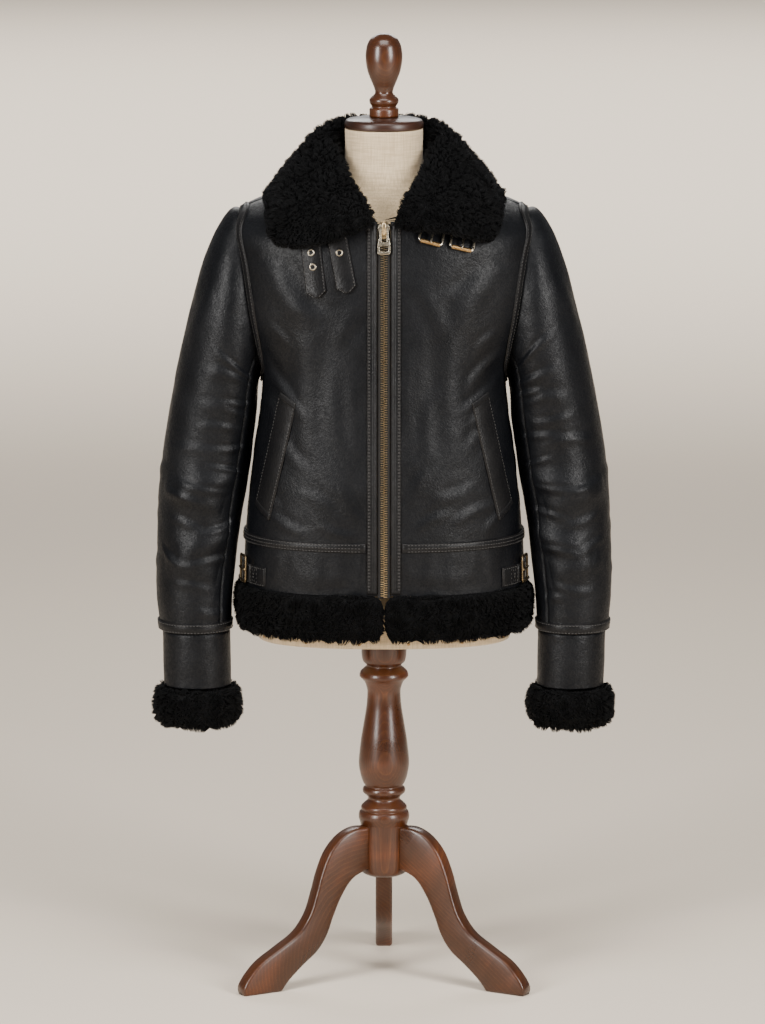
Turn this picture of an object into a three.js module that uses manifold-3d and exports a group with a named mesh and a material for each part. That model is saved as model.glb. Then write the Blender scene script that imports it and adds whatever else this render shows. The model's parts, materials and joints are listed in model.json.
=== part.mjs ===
import * as THREE from 'three';
import { mergeVertices } from 'three/addons/utils/BufferGeometryUtils.js';
import Module from 'manifold-3d';

const wasm = await Module();
wasm.setup();

// Driving sizes in millimetres. The column's axis is x = 0, y = 0, the floor is z = 0,
// the coat faces -Y and the wearer's left is +X.
const axisForward = 36; // the column stands this far in front of the middle of the footprint
const seam = 0.3; // gap between neighbouring pieces
const wall = 5; // shearling with its clipped wool
const trimThick = 2; // leather strips sewn on the panels
const laidOn = 0.6; // inner face of what lies on the coat, clear of the panels' edges
const strapTop = 3.3; // outer face of straps and tabs, measured from the panels
const weltTop = 3.5; // outer face of the pocket welts
const bodyPower = 2.4; // roundness of the coat's sections
const sleevePower = 2.1;
const waistSeam = 590;
const bandBottom = 528;
const frontEdge = 8.5; // half the opening that the zip closes
const zipBottom = 524.5;

// The coat's outside, one row for each level: height at the side seam, at the centre front
// and at the centre back, half width, and depth in front of and behind the axis.
const coatRows = [
  { side: 466, frontZ: 466, backZ: 466, half: 179, front: 125, back: 112 },
  { side: 528, frontZ: 528, backZ: 528, half: 181, front: 127, back: 113 },
  { side: 590, frontZ: 590, backZ: 590, half: 179, front: 128, back: 110 },
  { side: 660, frontZ: 660, backZ: 660, half: 172, front: 127, back: 104 },
  { side: 705, frontZ: 705, backZ: 705, half: 167, front: 125, back: 101 },
  { side: 750, frontZ: 750, backZ: 750, half: 160, front: 123, back: 99 },
  { side: 806, frontZ: 804, backZ: 806, half: 157, front: 121, back: 100 },
  { side: 835, frontZ: 831, backZ: 836, half: 167, front: 120, back: 102 },
  { side: 878, frontZ: 870, backZ: 880, half: 183, front: 119, back: 104 },
  { side: 917, frontZ: 904, backZ: 922, half: 191, front: 118, back: 105 },
  { side: 965, frontZ: 940, backZ: 966, half: 194, front: 116, back: 104 },
  { side: 1000, frontZ: 962, backZ: 998, half: 192, front: 114, back: 101 },
  { side: 1016, frontZ: 974, backZ: 1018, half: 174, front: 113, back: 97 },
  { side: 1031, frontZ: 985, backZ: 1036, half: 133, front: 112, back: 90 },
  { side: 1045, frontZ: 996, backZ: 1054, half: 94, front: 111, back: 80 },
  { side: 1058, frontZ: 1006, backZ: 1070, half: 64, front: 110, back: 66 },
];
const shoulderDrop = 1.3; // how the shoulder line falls away to the front and back

// The sleeve's outside: distance down the sleeve, its outer and inner edge seen from the
// front, half its depth and the middle of that depth.
const sleeveRows = [
  { reach: -30, outX: 160, outZ: 984, inX: 132, inZ: 816, depth: 54, middle: 4 },
  { reach: 0, outX: 188, outZ: 1012, inX: 152, inZ: 801, depth: 62, middle: 4 },
  { reach: 30, outX: 210, outZ: 993, inX: 159, inZ: 793, depth: 71, middle: 5 },
  { reach: 70, outX: 231, outZ: 946, inX: 162, inZ: 780, depth: 76, middle: 6 },
  { reach: 125, outX: 247.5, outZ: 886, inX: 163, inZ: 762, depth: 76, middle: 6 },
  { reach: 185, outX: 263, outZ: 820, inX: 164.5, inZ: 738, depth: 74, middle: 5 },
  { reach: 250, outX: 276.5, outZ: 752, inX: 168.5, inZ: 706, depth: 71, middle: 4 },
  { reach: 315, outX: 286.5, outZ: 688, inX: 174, inZ: 668, depth: 68, middle: 1 },
  { reach: 375, outX: 291.5, outZ: 628, inX: 182, inZ: 622, depth: 64, middle: -4 },
  { reach: 445, outX: 294, outZ: 560, inX: 190.5, inZ: 560, depth: 60, middle: -10 },
  { reach: 495, outX: 293.5, outZ: 511, inX: 196, inZ: 511, depth: 56, middle: -16 },
  { reach: 538, outX: 289.5, outZ: 468, inX: 198, inZ: 468, depth: 52, middle: -20 },
];
const sleeveEndRows = [
  { reach: 0, outX: 286.5, outZ: 467.7, inX: 199, inZ: 467.7, depth: 49.5, middle: -20 },
  { reach: 40, outX: 286, outZ: 428, inX: 198, inZ: 428, depth: 48, middle: -23 },
  { reach: 72, outX: 285, outZ: 396, inX: 197.5, inZ: 396, depth: 46, middle: -25 },
];
const sleeveReaches = [-30, 0, 15, 35, 80, 140, 205, 262, 302, 328, 354, 380, 406, 434, 464,
  498, 538];
const underSleeveHalf = 0.78; // the under sleeve's half angle about the inner side

// The sleeve's largest folds: place down the sleeve, angle of the middle (0 outside,
// -90 front), slant in mm per radian, half span in radians, half width and rise.
const sleeveFolds = [
  { reach: 318, angle: -100, slant: 26, span: 1.5, width: 16, rise: 4.2 },
  { reach: 366, angle: -75, slant: -18, span: 1.3, width: 15, rise: 4.8 },
  { reach: 412, angle: -110, slant: 22, span: 1.6, width: 16, rise: 5 },
  { reach: 458, angle: -85, slant: -14, span: 1.3, width: 15, rise: 4 },
  { reach: 345, angle: 110, slant: 20, span: 1.2, width: 16, rise: 3.4 },
  { reach: 425, angle: 80, slant: -20, span: 1.2, width: 16, rise: 3.6 },
];

// The collar from the centre back to its front end: the seam at the neckline, the roll line
// where it turns over, and the free edge, with half its thickness there and how far the fall
// stands out between them. The wearer's left side lies higher by the rise.
const collarRows = [
  { place: 0, baseX: 0, baseY: 64, baseZ: 1076, rollX: 0, rollY: 68, rollZ: 1110,
    edgeX: 0, edgeY: 122, edgeZ: 1012, half: 10, puff: 9, rise: 0 },
  { place: 1, baseX: 42, baseY: 50, baseZ: 1070, rollX: 46, rollY: 51, rollZ: 1109,
    edgeX: 88, edgeY: 106, edgeZ: 1013, half: 10, puff: 9, rise: 0 },
  { place: 2, baseX: 62, baseY: 14, baseZ: 1063, rollX: 67, rollY: 16, rollZ: 1100,
    edgeX: 146, edgeY: 46, edgeZ: 1020, half: 10, puff: 9, rise: 0 },
  { place: 3, baseX: 61, baseY: -30, baseZ: 1052, rollX: 61, rollY: -26, rollZ: 1080,
    edgeX: 152, edgeY: -32, edgeZ: 1004, half: 10, puff: 11, rise: 0 },
  { place: 4, baseX: 52, baseY: -70, baseZ: 1032, rollX: 49, rollY: -66, rollZ: 1056,
    edgeX: 143, edgeY: -97, edgeZ: 973, half: 9.5, puff: 15, rise: 2 },
  { place: 5, baseX: 34, baseY: -98, baseZ: 1018, rollX: 34, rollY: -97, rollZ: 1036,
    edgeX: 100, edgeY: -127, edgeZ: 967, half: 9, puff: 13, rise: 12 },
  { place: 6, baseX: 23, baseY: -108, baseZ: 1010, rollX: 22, rollY: -113, rollZ: 1016,
    edgeX: 52, edgeY: -129, edgeZ: 988, half: 7.5, puff: 7, rise: 6 },
  { place: 7, baseX: 18, baseY: -112, baseZ: 1006, rollX: 17, rollY: -117, rollZ: 1006,
    edgeX: 24, edgeY: -121, edgeZ: 998, half: 4.5, puff: 2, rise: 0 },
];

// Fur sections, from the top down: distance out from the leather and height.
const hemFurOutside = [
  { out: 1.5, z: 527.7 }, { out: 8.5, z: 524 }, { out: 12.5, z: 512 }, { out: 13.5, z: 494 },
  { out: 10.5, z: 477 }, { out: 3, z: 470 },
];
const hemFurInside = [
  { out: -5, z: 527.7 }, { out: -8, z: 521 }, { out: -10, z: 510 }, { out: -10.5, z: 494 },
  { out: -9, z: 480 }, { out: -4, z: 470 },
];
const cuffOutside = [
  { out: 1, z: 395.7 }, { out: 9.5, z: 392 }, { out: 14, z: 380 }, { out: 14.5, z: 362 },
  { out: 11, z: 349 }, { out: 2, z: 342 },
];
const cuffInside = [
  { out: -5, z: 395.7 }, { out: -9, z: 390 }, { out: -12, z: 378 }, { out: -12.5, z: 362 },
  { out: -11, z: 350 }, { out: -5, z: 342 },
];

// The dress form in the same columns as the coat. Rows without a side height lie under the
// coat's shoulder, which rests on them.
const restGap = 0.6;
const formRows = [
  { side: 452, frontZ: 452, backZ: 452, half: 163, front: 92, back: 98 },
  { side: 500, frontZ: 500, backZ: 500, half: 165, front: 94, back: 101 },
  { side: 560, frontZ: 560, backZ: 560, half: 157, front: 93, back: 98 },
  { side: 640, frontZ: 640, backZ: 640, half: 127, front: 87, back: 82 },
  { side: 720, frontZ: 720, backZ: 720, half: 131, front: 92, back: 82 },
  { side: 800, frontZ: 798, backZ: 800, half: 140, front: 103, back: 88 },
  { side: 860, frontZ: 855, backZ: 860, half: 146, front: 106, back: 90 },
  { side: 930, frontZ: 915, backZ: 930, half: 152, front: 101, back: 91 },
  { side: 985, frontZ: 950, backZ: 985, half: 158, front: 96, back: 88 },
  { half: 156, frontDrop: 36, backDrop: 4, front: 92, back: 82 },
  { half: 130, frontDrop: 37, backDrop: 2, front: 86, back: 76 },
  { half: 98, frontDrop: 34, backDrop: -2, front: 78, back: 66 },
  { half: 80, frontDrop: 29, backDrop: -2, front: 69, back: 59 },
  { side: 1051.5, frontZ: 1031, backZ: 1055, half: 57, front: 59, back: 53 },
  { side: 1064, frontZ: 1050, backZ: 1068, half: 52, front: 53, back: 51 },
  { side: 1084, frontZ: 1080, backZ: 1085, half: 50, front: 50, back: 50 },
  { side: 1113, frontZ: 1113, backZ: 1113, half: 50, front: 50, back: 50 },
];

// Turned profiles from the bottom up: radius and height.
const columnProfile = [
  { r: 22, z: 136 }, { r: 29, z: 140 }, { r: 30.5, z: 150 }, { r: 30.5, z: 200 },
  { r: 28.5, z: 206 }, { r: 31.5, z: 212 }, { r: 31.5, z: 221 }, { r: 27, z: 232 },
  { r: 21.5, z: 240 }, { r: 26, z: 245 }, { r: 28, z: 250.5 }, { r: 25, z: 256 },
  { r: 29.3, z: 267 }, { r: 32.5, z: 282 }, { r: 32.5, z: 296 }, { r: 30, z: 316 },
  { r: 26, z: 340 }, { r: 22.6, z: 362 }, { r: 21.6, z: 380 }, { r: 24, z: 390 },
  { r: 27, z: 395 }, { r: 31.8, z: 400 }, { r: 30.6, z: 406 }, { r: 26.5, z: 410 },
  { r: 22.3, z: 414.5 }, { r: 27.5, z: 420 }, { r: 29.2, z: 430 }, { r: 29.2, z: 451.7 },
];
const finialProfile = [
  { r: 18.6, z: 1128.3 }, { r: 18.6, z: 1138 }, { r: 15.4, z: 1141 }, { r: 18.4, z: 1146 },
  { r: 18.4, z: 1151 }, { r: 11.6, z: 1158 }, { r: 12.6, z: 1165 }, { r: 16.4, z: 1174 },
  { r: 21, z: 1186 }, { r: 23.3, z: 1198 }, { r: 23.5, z: 1208 }, { r: 21.8, z: 1219 },
  { r: 17.5, z: 1227.5 }, { r: 9, z: 1233.5 },
];
const finialTop = 1235;
const capProfile = [
  { r: 49, z: 1113.3 }, { r: 50.6, z: 1116 }, { r: 50.6, z: 1121 }, { r: 47, z: 1125 },
  { r: 30, z: 1128 },
];

// A leg's outline, radius from the axis and height, along its top edge and its underside.
const legTop = [
  { r: 27, z: 203 }, { r: 48, z: 203 }, { r: 68, z: 194 }, { r: 86, z: 175 },
  { r: 98, z: 149 }, { r: 106, z: 123 }, { r: 116, z: 96 }, { r: 133, z: 74 },
  { r: 159, z: 58 }, { r: 188, z: 41 }, { r: 206, z: 23 }, { r: 214, z: 9 }, { r: 212, z: 0 },
];
const legUnder = [
  { r: 158, z: 0 }, { r: 146, z: 14 }, { r: 126, z: 31 }, { r: 104, z: 48 },
  { r: 90, z: 68 }, { r: 81, z: 90 }, { r: 69, z: 115 }, { r: 52, z: 137 }, { r: 27, z: 148 },
];
const legThick = 22;
const legTurns = { leg_left: -30, leg_right: -150, leg_back: 90 };

// Throat straps: middle of the tip and lean, with the places of the eyelets up the strap.
const strapWidth = 25.5;
const strapPoint = 8;
const throatStraps = [
  { tipX: -84.5, tipZ: 909, lean: 7, length: 76, eyelets: [40, 58] },
  { tipX: -46, tipZ: 916, lean: 11, length: 80, eyelets: [52, 71] },
];
const eyeletOuter = 4.8;
const eyeletInner = 2.4;
const eyeletLift = 3.8; // foot of an eyelet, on the strap
const strapRoom = 5.2; // underside of the collar over straps and eyelets

// Throat buckles: middle of the roller, lean, and how far to each side of it the collar stays
// clear, then the sizes of frame, bar, prong and roller.
const throatBuckles = [
  { x: 56.5, z: 977, lean: 15, roomFrom: -18, roomTo: 18 },
  { x: 95.7, z: 968.5, lean: 14, roomFrom: -26, roomTo: 42 },
];
const barToRoller = 27;
const frameWidth = 33;
const wire = 1.8;
const rollerRadius = 2.9;
const rollerLength = 25.5;
const barLift = 4.4;
const buckleRoom = 6; // underside of the collar over the bars
const throatSwing = THREE.MathUtils.degToRad(25); // frame and prong together

const pocketCorners = [
  { end: 'top', outerX: 130.6, outerZ: 785, innerX: 110.3, innerZ: 772.5 },
  { end: 'bottom', outerX: 162.6, outerZ: 636, innerX: 145.5, innerZ: 619 },
];
const sideTab = { top: 557, bottom: 532, frontX: 151, bandEnd: 22, strapEnd: 38 };
const sideBuckle = { angle: -13, level: 549, width: 31, height: 37, bar: 4, thick: 3,
  lift: 2.9, prongWide: 3.4, prongThick: 2.4 };

const slider = { width: 11.4, height: 22, thick: 2.2, top: 1007, crown: 5.4, pinZ: 1001 };
const pull = { length: 36, wide: 15, waist: 11.5, thick: 1.8 };

const leather = { color: 0x17171a, roughness: 0.5, metalness: 0 };
const fur = { color: 0x0b0b0c, roughness: 0.95, metalness: 0 };
const linen = { color: 0xd2c2a3, roughness: 0.9, metalness: 0 };
const wood = { color: 0x5a3722, roughness: 0.4, metalness: 0 };
const brass = { color: 0x8a6a3a, roughness: 0.4, metalness: 0.9 };
const nickel = { color: 0xa69c86, roughness: 0.35, metalness: 0.9 };

const part = new THREE.Group();
part.position.y = -axisForward;

// Reading the tables

function slopeAt(rows, key, column, index) {
  const before = rows[Math.max(index - 1, 0)];
  const after = rows[Math.min(index + 1, rows.length - 1)];
  return (after[column] - before[column]) / (after[key] - before[key]);
}

function valueAt(rows, key, column, at) {
  let i = 0;
  while (i < rows.length - 2 && rows[i + 1][key] < at) i += 1;
  const span = rows[i + 1][key] - rows[i][key];
  const t = (at - rows[i][key]) / span;
  const a = rows[i][column];
  const b = rows[i + 1][column];
  const slopeA = slopeAt(rows, key, column, i) * span;
  const slopeB = slopeAt(rows, key, column, i + 1) * span;
  const t2 = t * t;
  const t3 = t2 * t;
  return a * (2 * t3 - 3 * t2 + 1) + slopeA * (t3 - 2 * t2 + t)
    + b * (3 * t2 - 2 * t3) + slopeB * (t3 - t2);
}

function steps(from, to, count) {
  return Array.from({ length: count }, (_, i) => from + ((to - from) * i) / (count - 1));
}

function signedPower(value, power) {
  return Math.sign(value) * Math.abs(value) ** power;
}

// Surfaces

function ringPoint(rows, side, angle) {
  const half = valueAt(rows, 'side', 'half', side);
  const inFront = Math.sin(angle) < 0;
  const depth = valueAt(rows, 'side', inFront ? 'front' : 'back', side);
  const middle = valueAt(rows, 'side', inFront ? 'frontZ' : 'backZ', side);
  const round = 2 / bodyPower;
  const y = signedPower(Math.sin(angle), round);
  const z = side + (middle - side) * Math.abs(y) ** shoulderDrop;
  return new THREE.Vector3(half * signedPower(Math.cos(angle), round), depth * y, z);
}

function surfaceNormal(point, u, v, stepU, stepV) {
  const along = point(u, v + stepV).sub(point(u, v - stepV));
  const up = point(u + stepU, v).sub(point(u - stepU, v));
  return along.cross(up).normalize();
}

function coatPoint(side, angle, out = 0) {
  const point = (s, a) => ringPoint(coatRows, s, a);
  return point(side, angle).addScaledVector(surfaceNormal(point, side, angle, 1, 0.03), out);
}

function angleAtX(side, x) {
  const half = valueAt(coatRows, 'side', 'half', side);
  return -Math.acos(Math.min(x / half, 1) ** (bodyPower / 2));
}

function angleAtY(side, y) {
  const depth = valueAt(coatRows, 'side', y < 0 ? 'front' : 'back', side);
  return Math.sign(y) * Math.asin((Math.abs(y) / depth) ** (bodyPower / 2));
}

function sideAt(x, z) {
  let low = 466;
  let high = 1058;
  for (let i = 0; i < 30; i += 1) {
    const middle = (low + high) / 2;
    if (ringPoint(coatRows, middle, angleAtX(middle, Math.abs(x))).z < z) low = middle;
    else high = middle;
  }
  return (low + high) / 2;
}

// A point of the coat's front at a place seen from the front, moved out from it.
function frontPoint(x, z, out) {
  const side = sideAt(x, z);
  const point = coatPoint(side, angleAtX(side, Math.abs(x)), out);
  if (x < 0) point.x = -point.x;
  return point;
}

function frontNormal(x, z) {
  return frontPoint(x, z, 1).sub(frontPoint(x, z, 0)).normalize();
}

function foldRise(reach, angle) {
  let rise = 0;
  for (const fold of sleeveFolds) {
    let turn = angle - THREE.MathUtils.degToRad(fold.angle);
    turn = Math.atan2(Math.sin(turn), Math.cos(turn));
    if (Math.abs(turn) < fold.span) {
      const off = (reach - fold.reach - fold.slant * turn) / fold.width;
      rise += fold.rise * Math.exp(-off * off) * Math.cos((turn / fold.span) * (Math.PI / 2)) ** 2;
    }
  }
  return rise;
}

function sleeveRing(rows, reach, angle) {
  const at = (column) => valueAt(rows, 'reach', column, reach);
  const round = 2 / sleevePower;
  const across = signedPower(Math.cos(angle), round);
  const x = ((at('outX') + at('inX')) + (at('outX') - at('inX')) * across) / 2;
  const z = ((at('outZ') + at('inZ')) + (at('outZ') - at('inZ')) * across) / 2;
  const y = at('middle') + at('depth') * signedPower(Math.sin(angle), round);
  return new THREE.Vector3(x, y, z);
}

function sleevePoint(rows, reach, angle, out, folds = false) {
  const point = (r, a) => sleeveRing(rows, r, a);
  const rise = folds ? foldRise(reach, angle) : 0;
  const normal = surfaceNormal(point, reach, angle, -1, 0.03);
  return point(reach, angle).addScaledVector(normal, out + rise);
}

// Solids

function closedGeometry(points, triangles) {
  const geometry = new THREE.BufferGeometry();
  const flat = points.flatMap((p) => [p.x, p.y, p.z]);
  geometry.setAttribute('position', new THREE.Float32BufferAttribute(flat, 3));
  geometry.setIndex(triangles.flat());
  return facingOut(geometry);
}

function facingOut(geometry) {
  const place = geometry.attributes.position;
  const index = geometry.index.array;
  const [a, b, c] = [new THREE.Vector3(), new THREE.Vector3(), new THREE.Vector3()];
  let volume = 0;
  for (let i = 0; i < index.length; i += 3) {
    a.fromBufferAttribute(place, index[i]);
    b.fromBufferAttribute(place, index[i + 1]);
    c.fromBufferAttribute(place, index[i + 2]);
    volume += a.dot(b.cross(c));
  }
  if (volume < 0) {
    for (let i = 0; i < index.length; i += 3) {
      [index[i + 1], index[i + 2]] = [index[i + 2], index[i + 1]];
    }
  }
  return geometry;
}

// A wall between two faces given as rows of points, closed round its edges. A wall that goes
// all round joins its last row to its first.
function wallSolid(face, back, round = false) {
  const rows = face.length;
  const columns = face[0].length;
  const points = [...face.flat(), ...back.flat()];
  const at = (row, column, side) => side * rows * columns + (row % rows) * columns + column;
  const triangles = [];
  const quad = (a, b, c, d) => triangles.push([a, b, c], [a, c, d]);
  const lastRow = round ? rows : rows - 1;
  for (let i = 0; i < lastRow; i += 1) {
    for (let j = 0; j < columns - 1; j += 1) {
      quad(at(i, j, 0), at(i, j + 1, 0), at(i + 1, j + 1, 0), at(i + 1, j, 0));
      quad(at(i, j, 1), at(i + 1, j, 1), at(i + 1, j + 1, 1), at(i, j + 1, 1));
    }
    quad(at(i, 0, 0), at(i + 1, 0, 0), at(i + 1, 0, 1), at(i, 0, 1));
    quad(at(i, columns - 1, 0), at(i, columns - 1, 1), at(i + 1, columns - 1, 1),
      at(i + 1, columns - 1, 0));
  }
  if (!round) {
    for (let j = 0; j < columns - 1; j += 1) {
      quad(at(0, j, 0), at(0, j, 1), at(0, j + 1, 1), at(0, j + 1, 0));
      quad(at(rows - 1, j, 0), at(rows - 1, j + 1, 0), at(rows - 1, j + 1, 1),
        at(rows - 1, j, 1));
    }
  }
  return closedGeometry(points, triangles);
}

// A full solid through closed rings of points, with a flat or conical end on each.
function ringSolid(rings) {
  const columns = rings[0].length;
  const points = rings.flat();
  const triangles = [];
  for (let i = 0; i < rings.length - 1; i += 1) {
    for (let j = 0; j < columns; j += 1) {
      const k = (j + 1) % columns;
      const [a, b] = [i * columns + j, i * columns + k];
      triangles.push([a, b, b + columns], [a, b + columns, a + columns]);
    }
  }
  for (const [start, turned] of [[0, true], [(rings.length - 1) * columns, false]]) {
    const ring = points.slice(start, start + columns);
    const middle = ring.reduce((sum, p) => sum.add(p), new THREE.Vector3());
    points.push(middle.divideScalar(columns));
    for (let j = 0; j < columns; j += 1) {
      const [a, b] = [start + j, start + ((j + 1) % columns)];
      triangles.push(turned ? [b, a, points.length - 1] : [a, b, points.length - 1]);
    }
  }
  return closedGeometry(points, triangles);
}

function lathe(profile, sides, top = null) {
  const points = profile.map((row) => new THREE.Vector2(row.r, row.z));
  points.unshift(new THREE.Vector2(0, profile[0].z));
  points.push(new THREE.Vector2(0, top ?? profile.at(-1).z));
  const geometry = new THREE.LatheGeometry(points, sides);
  geometry.rotateX(Math.PI / 2);
  return geometry;
}

function mirrored(geometry) {
  const copy = geometry.clone();
  copy.scale(-1, 1, 1);
  return facingOut(copy);
}

function asManifold(geometry) {
  const bare = geometry.clone();
  bare.deleteAttribute('normal');
  bare.deleteAttribute('uv');
  const merged = facingOut(mergeVertices(bare, 1e-4));
  return new wasm.Manifold(new wasm.Mesh({
    numProp: 3,
    vertProperties: new Float32Array(merged.attributes.position.array),
    triVerts: new Uint32Array(merged.index.array),
  }));
}

function asGeometry(manifold) {
  const mesh = manifold.getMesh();
  const geometry = new THREE.BufferGeometry();
  geometry.setAttribute('position', new THREE.BufferAttribute(mesh.vertProperties, 3));
  geometry.setIndex(Array.from(mesh.triVerts));
  return geometry;
}

function cut(geometry, ...tools) {
  let solid = asManifold(geometry);
  for (const tool of tools) solid = solid.subtract(tool);
  return asGeometry(solid);
}

function joined(...geometries) {
  let solid = asManifold(geometries[0]);
  for (const geometry of geometries.slice(1)) solid = solid.add(asManifold(geometry));
  return asGeometry(solid);
}

function addMesh(name, geometry, finish, group = part) {
  const mesh = new THREE.Mesh(geometry, new THREE.MeshStandardMaterial(finish));
  mesh.name = name;
  group.add(mesh);
  return mesh;
}

// Coat panels

const panelLevels = [waistSeam + seam / 2, 650, 710, 760, 806, 838, 875, 920, 960, 990, 1008,
  1024, 1040, 1058];
const bandLevels = [bandBottom, 560, waistSeam - seam / 2];
const frontColumns = 11;
const backColumns = 17;

function frontAngles(side) {
  return steps(angleAtX(side, frontEdge), angleAtY(side, -seam / 2), frontColumns);
}

function backAngles(side) {
  const edge = angleAtY(side, seam / 2);
  return steps(edge, Math.PI - edge, backColumns);
}

function coatPanel(levels, anglesAt) {
  const face = levels.map((side) => anglesAt(side).map((angle) => coatPoint(side, angle)));
  const back = levels.map((side) => anglesAt(side).map((a) => coatPoint(side, a, -wall)));
  return wallSolid(face, back);
}

// The coat's whole outside as one full solid, grown by a distance, for trimming neighbours.
function coatCore(out) {
  const rings = [466, ...bandLevels, ...panelLevels].map((side) => {
    const front = frontAngles(side).slice(0, -1).map((angle) => coatPoint(side, angle, out));
    const other = front.map((p) => new THREE.Vector3(-p.x, p.y, p.z)).reverse();
    const edges = [coatPoint(side, 0, out), coatPoint(side, Math.PI, out)];
    const back = backAngles(side).slice(1, -1).map((angle) => coatPoint(side, angle, out));
    return [...front, edges[0], ...back, edges[1], ...other];
  });
  return asManifold(ringSolid(rings));
}

const underStart = Math.PI - underSleeveHalf;
const topColumns = 13;
const underColumns = 5;
const sleeveAngles = [...steps(-underStart, underStart, topColumns),
  ...steps(underStart, 2 * Math.PI - underStart, underColumns).slice(1, -1)];

function sleeveCore(out, lastReach) {
  const reaches = sleeveReaches.filter((reach) => reach <= lastReach);
  const ring = (reach) => sleeveAngles.map((a) => sleevePoint(sleeveRows, reach, a, out));
  return asManifold(ringSolid(reaches.map(ring)));
}

const coatGrown = coatCore(seam);
const sleeveGrown = sleeveCore(seam, 235);

function buildPanels() {
  const front = cut(coatPanel(panelLevels, frontAngles), sleeveGrown);
  addMesh('front_left', front, leather);
  addMesh('front_right', mirrored(front), leather);
  const otherSleeve = asManifold(mirrored(asGeometry(sleeveGrown)));
  addMesh('back', cut(coatPanel(panelLevels, backAngles), sleeveGrown, otherSleeve), leather);
  const band = coatPanel(bandLevels, frontAngles);
  addMesh('waistband_left', band, leather);
  addMesh('waistband_right', mirrored(band), leather);
  addMesh('waistband_back', coatPanel(bandLevels, backAngles), leather);
}

// A strip on the coat's outside over the waist seam, from one front edge round to the other.
function buildWaistTape() {
  const half = 6;
  const firstX = frontEdge + 13.5;
  const first = angleAtX(waistSeam, firstX);
  const front = [first, ...frontAngles(waistSeam).slice(1, -1), 0];
  const other = front.map((angle) => Math.PI - angle).reverse();
  const angles = [...front, ...backAngles(waistSeam).slice(1, -1), ...other];
  const line = (out) => angles.map((a) => [-half, half].map((rise) => (
    coatPoint(waistSeam + rise, a, out))));
  addMesh('waist_tape', wallSolid(line(seam + trimThick), line(laidOn)), leather);
}

// Sleeves

function sleeveStations(rows, from, to, count) {
  return steps(from, to, count).map((angle, i) => (reach) => {
    const rim = sleeveRing(rows, reach, angle + 0.01).distanceTo(sleeveRing(rows, reach, angle));
    if (i === 0) return angle + (seam / 2 / rim) * 0.01;
    if (i === count - 1) return angle - (seam / 2 / rim) * 0.01;
    return angle;
  });
}

function sleevePiece(from, to, count) {
  const stations = sleeveStations(sleeveRows, from, to, count);
  const face = stations.map((angleAt) => sleeveReaches.map((reach) => (
    sleevePoint(sleeveRows, reach, angleAt(reach), 0, true))));
  const back = stations.map((angleAt) => sleeveReaches.map((reach) => (
    sleevePoint(sleeveRows, reach, angleAt(reach), -wall))));
  return cut(wallSolid(face, back), coatGrown);
}

function roundStations(count) {
  return steps(0, 2 * Math.PI, count + 1).slice(0, -1);
}

function buildSleeves() {
  const top = sleevePiece(-underStart, underStart, topColumns);
  addMesh('sleeve_top_left', top, leather);
  addMesh('sleeve_top_right', mirrored(top), leather);
  const inner = sleevePiece(underStart, 2 * Math.PI - underStart, underColumns);
  addMesh('sleeve_under_left', inner, leather);
  addMesh('sleeve_under_right', mirrored(inner), leather);

  const reaches = sleeveEndRows.map((row) => row.reach);
  const endLine = (out) => roundStations(18).map((angle) => reaches.map((reach) => (
    sleevePoint(sleeveEndRows, reach, angle, out))));
  const end = wallSolid(endLine(0), endLine(-wall), true);
  addMesh('sleeve_end_left', end, leather);
  addMesh('sleeve_end_right', mirrored(end), leather);

  const tapeEdges = [538, 525];
  const tapeLine = (out) => sleeveAngles.map((angle) => tapeEdges.map((reach) => (
    sleevePoint(sleeveRows, reach, angle, out))));
  const tape = wallSolid(tapeLine(seam + trimThick), tapeLine(seam), true);
  addMesh('wrist_tape_left', tape, leather);
  addMesh('wrist_tape_right', mirrored(tape), leather);

  const tapeWidth = 10.5;
  const shell = coatCore(seam + trimThick).subtract(coatCore(seam));
  const strip = shell.intersect(sleeveCore(seam + tapeWidth, 35));
  const armholeTape = asGeometry(strip.subtract(sleeveCore(2 * seam, 185)));
  addMesh('armhole_tape_left', armholeTape, leather);
  addMesh('armhole_tape_right', mirrored(armholeTape), leather);
}

// Fur

const collarRooms = []; // what the collar's underside leaves free for straps and buckles

function buildCuffs() {
  const last = sleeveEndRows.at(-1);
  const middleX = (last.outX + last.inX) / 2;
  const halfX = (last.outX - last.inX) / 2;
  const line = (section) => roundStations(18).map((angle) => section.map(({ out, z }) => (
    new THREE.Vector3(middleX + (halfX + out) * Math.cos(angle),
      last.middle + (last.depth + out) * Math.sin(angle), z))));
  const cuff = wallSolid(line(cuffOutside), line(cuffInside), true);
  addMesh('cuff_fur_left', cuff, fur);
  addMesh('cuff_fur_right', mirrored(cuff), fur);
}

// The hem fur between two angles. Its ends at the centre front are rounded off.
function hemFur(angles, roundedStart) {
  const middleZ = 500;
  const middleOut = 2;
  const ends = roundedStart ? [0.4, 0.72] : [];
  const line = (section) => angles.map((angle, i) => section.map(({ out, z }) => {
    const size = ends[i] ?? 1;
    const height = middleZ + (z - middleZ) * Math.sqrt(size);
    return coatPoint(height, angle, middleOut + (out - middleOut) * size);
  }));
  return wallSolid(line(hemFurOutside), line(hemFurInside));
}

function buildHemFur() {
  const level = 500;
  const end = angleAtY(level, -seam / 2);
  const starts = [3, 8.6].map((x) => angleAtX(level, x));
  const front = hemFur([...starts, ...steps(angleAtX(level, 16), end, 11)], true);
  addMesh('hem_fur_left', front, fur);
  addMesh('hem_fur_right', mirrored(front), fur);
  addMesh('hem_fur_back', hemFur(backAngles(level), false), fur);
}

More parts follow.
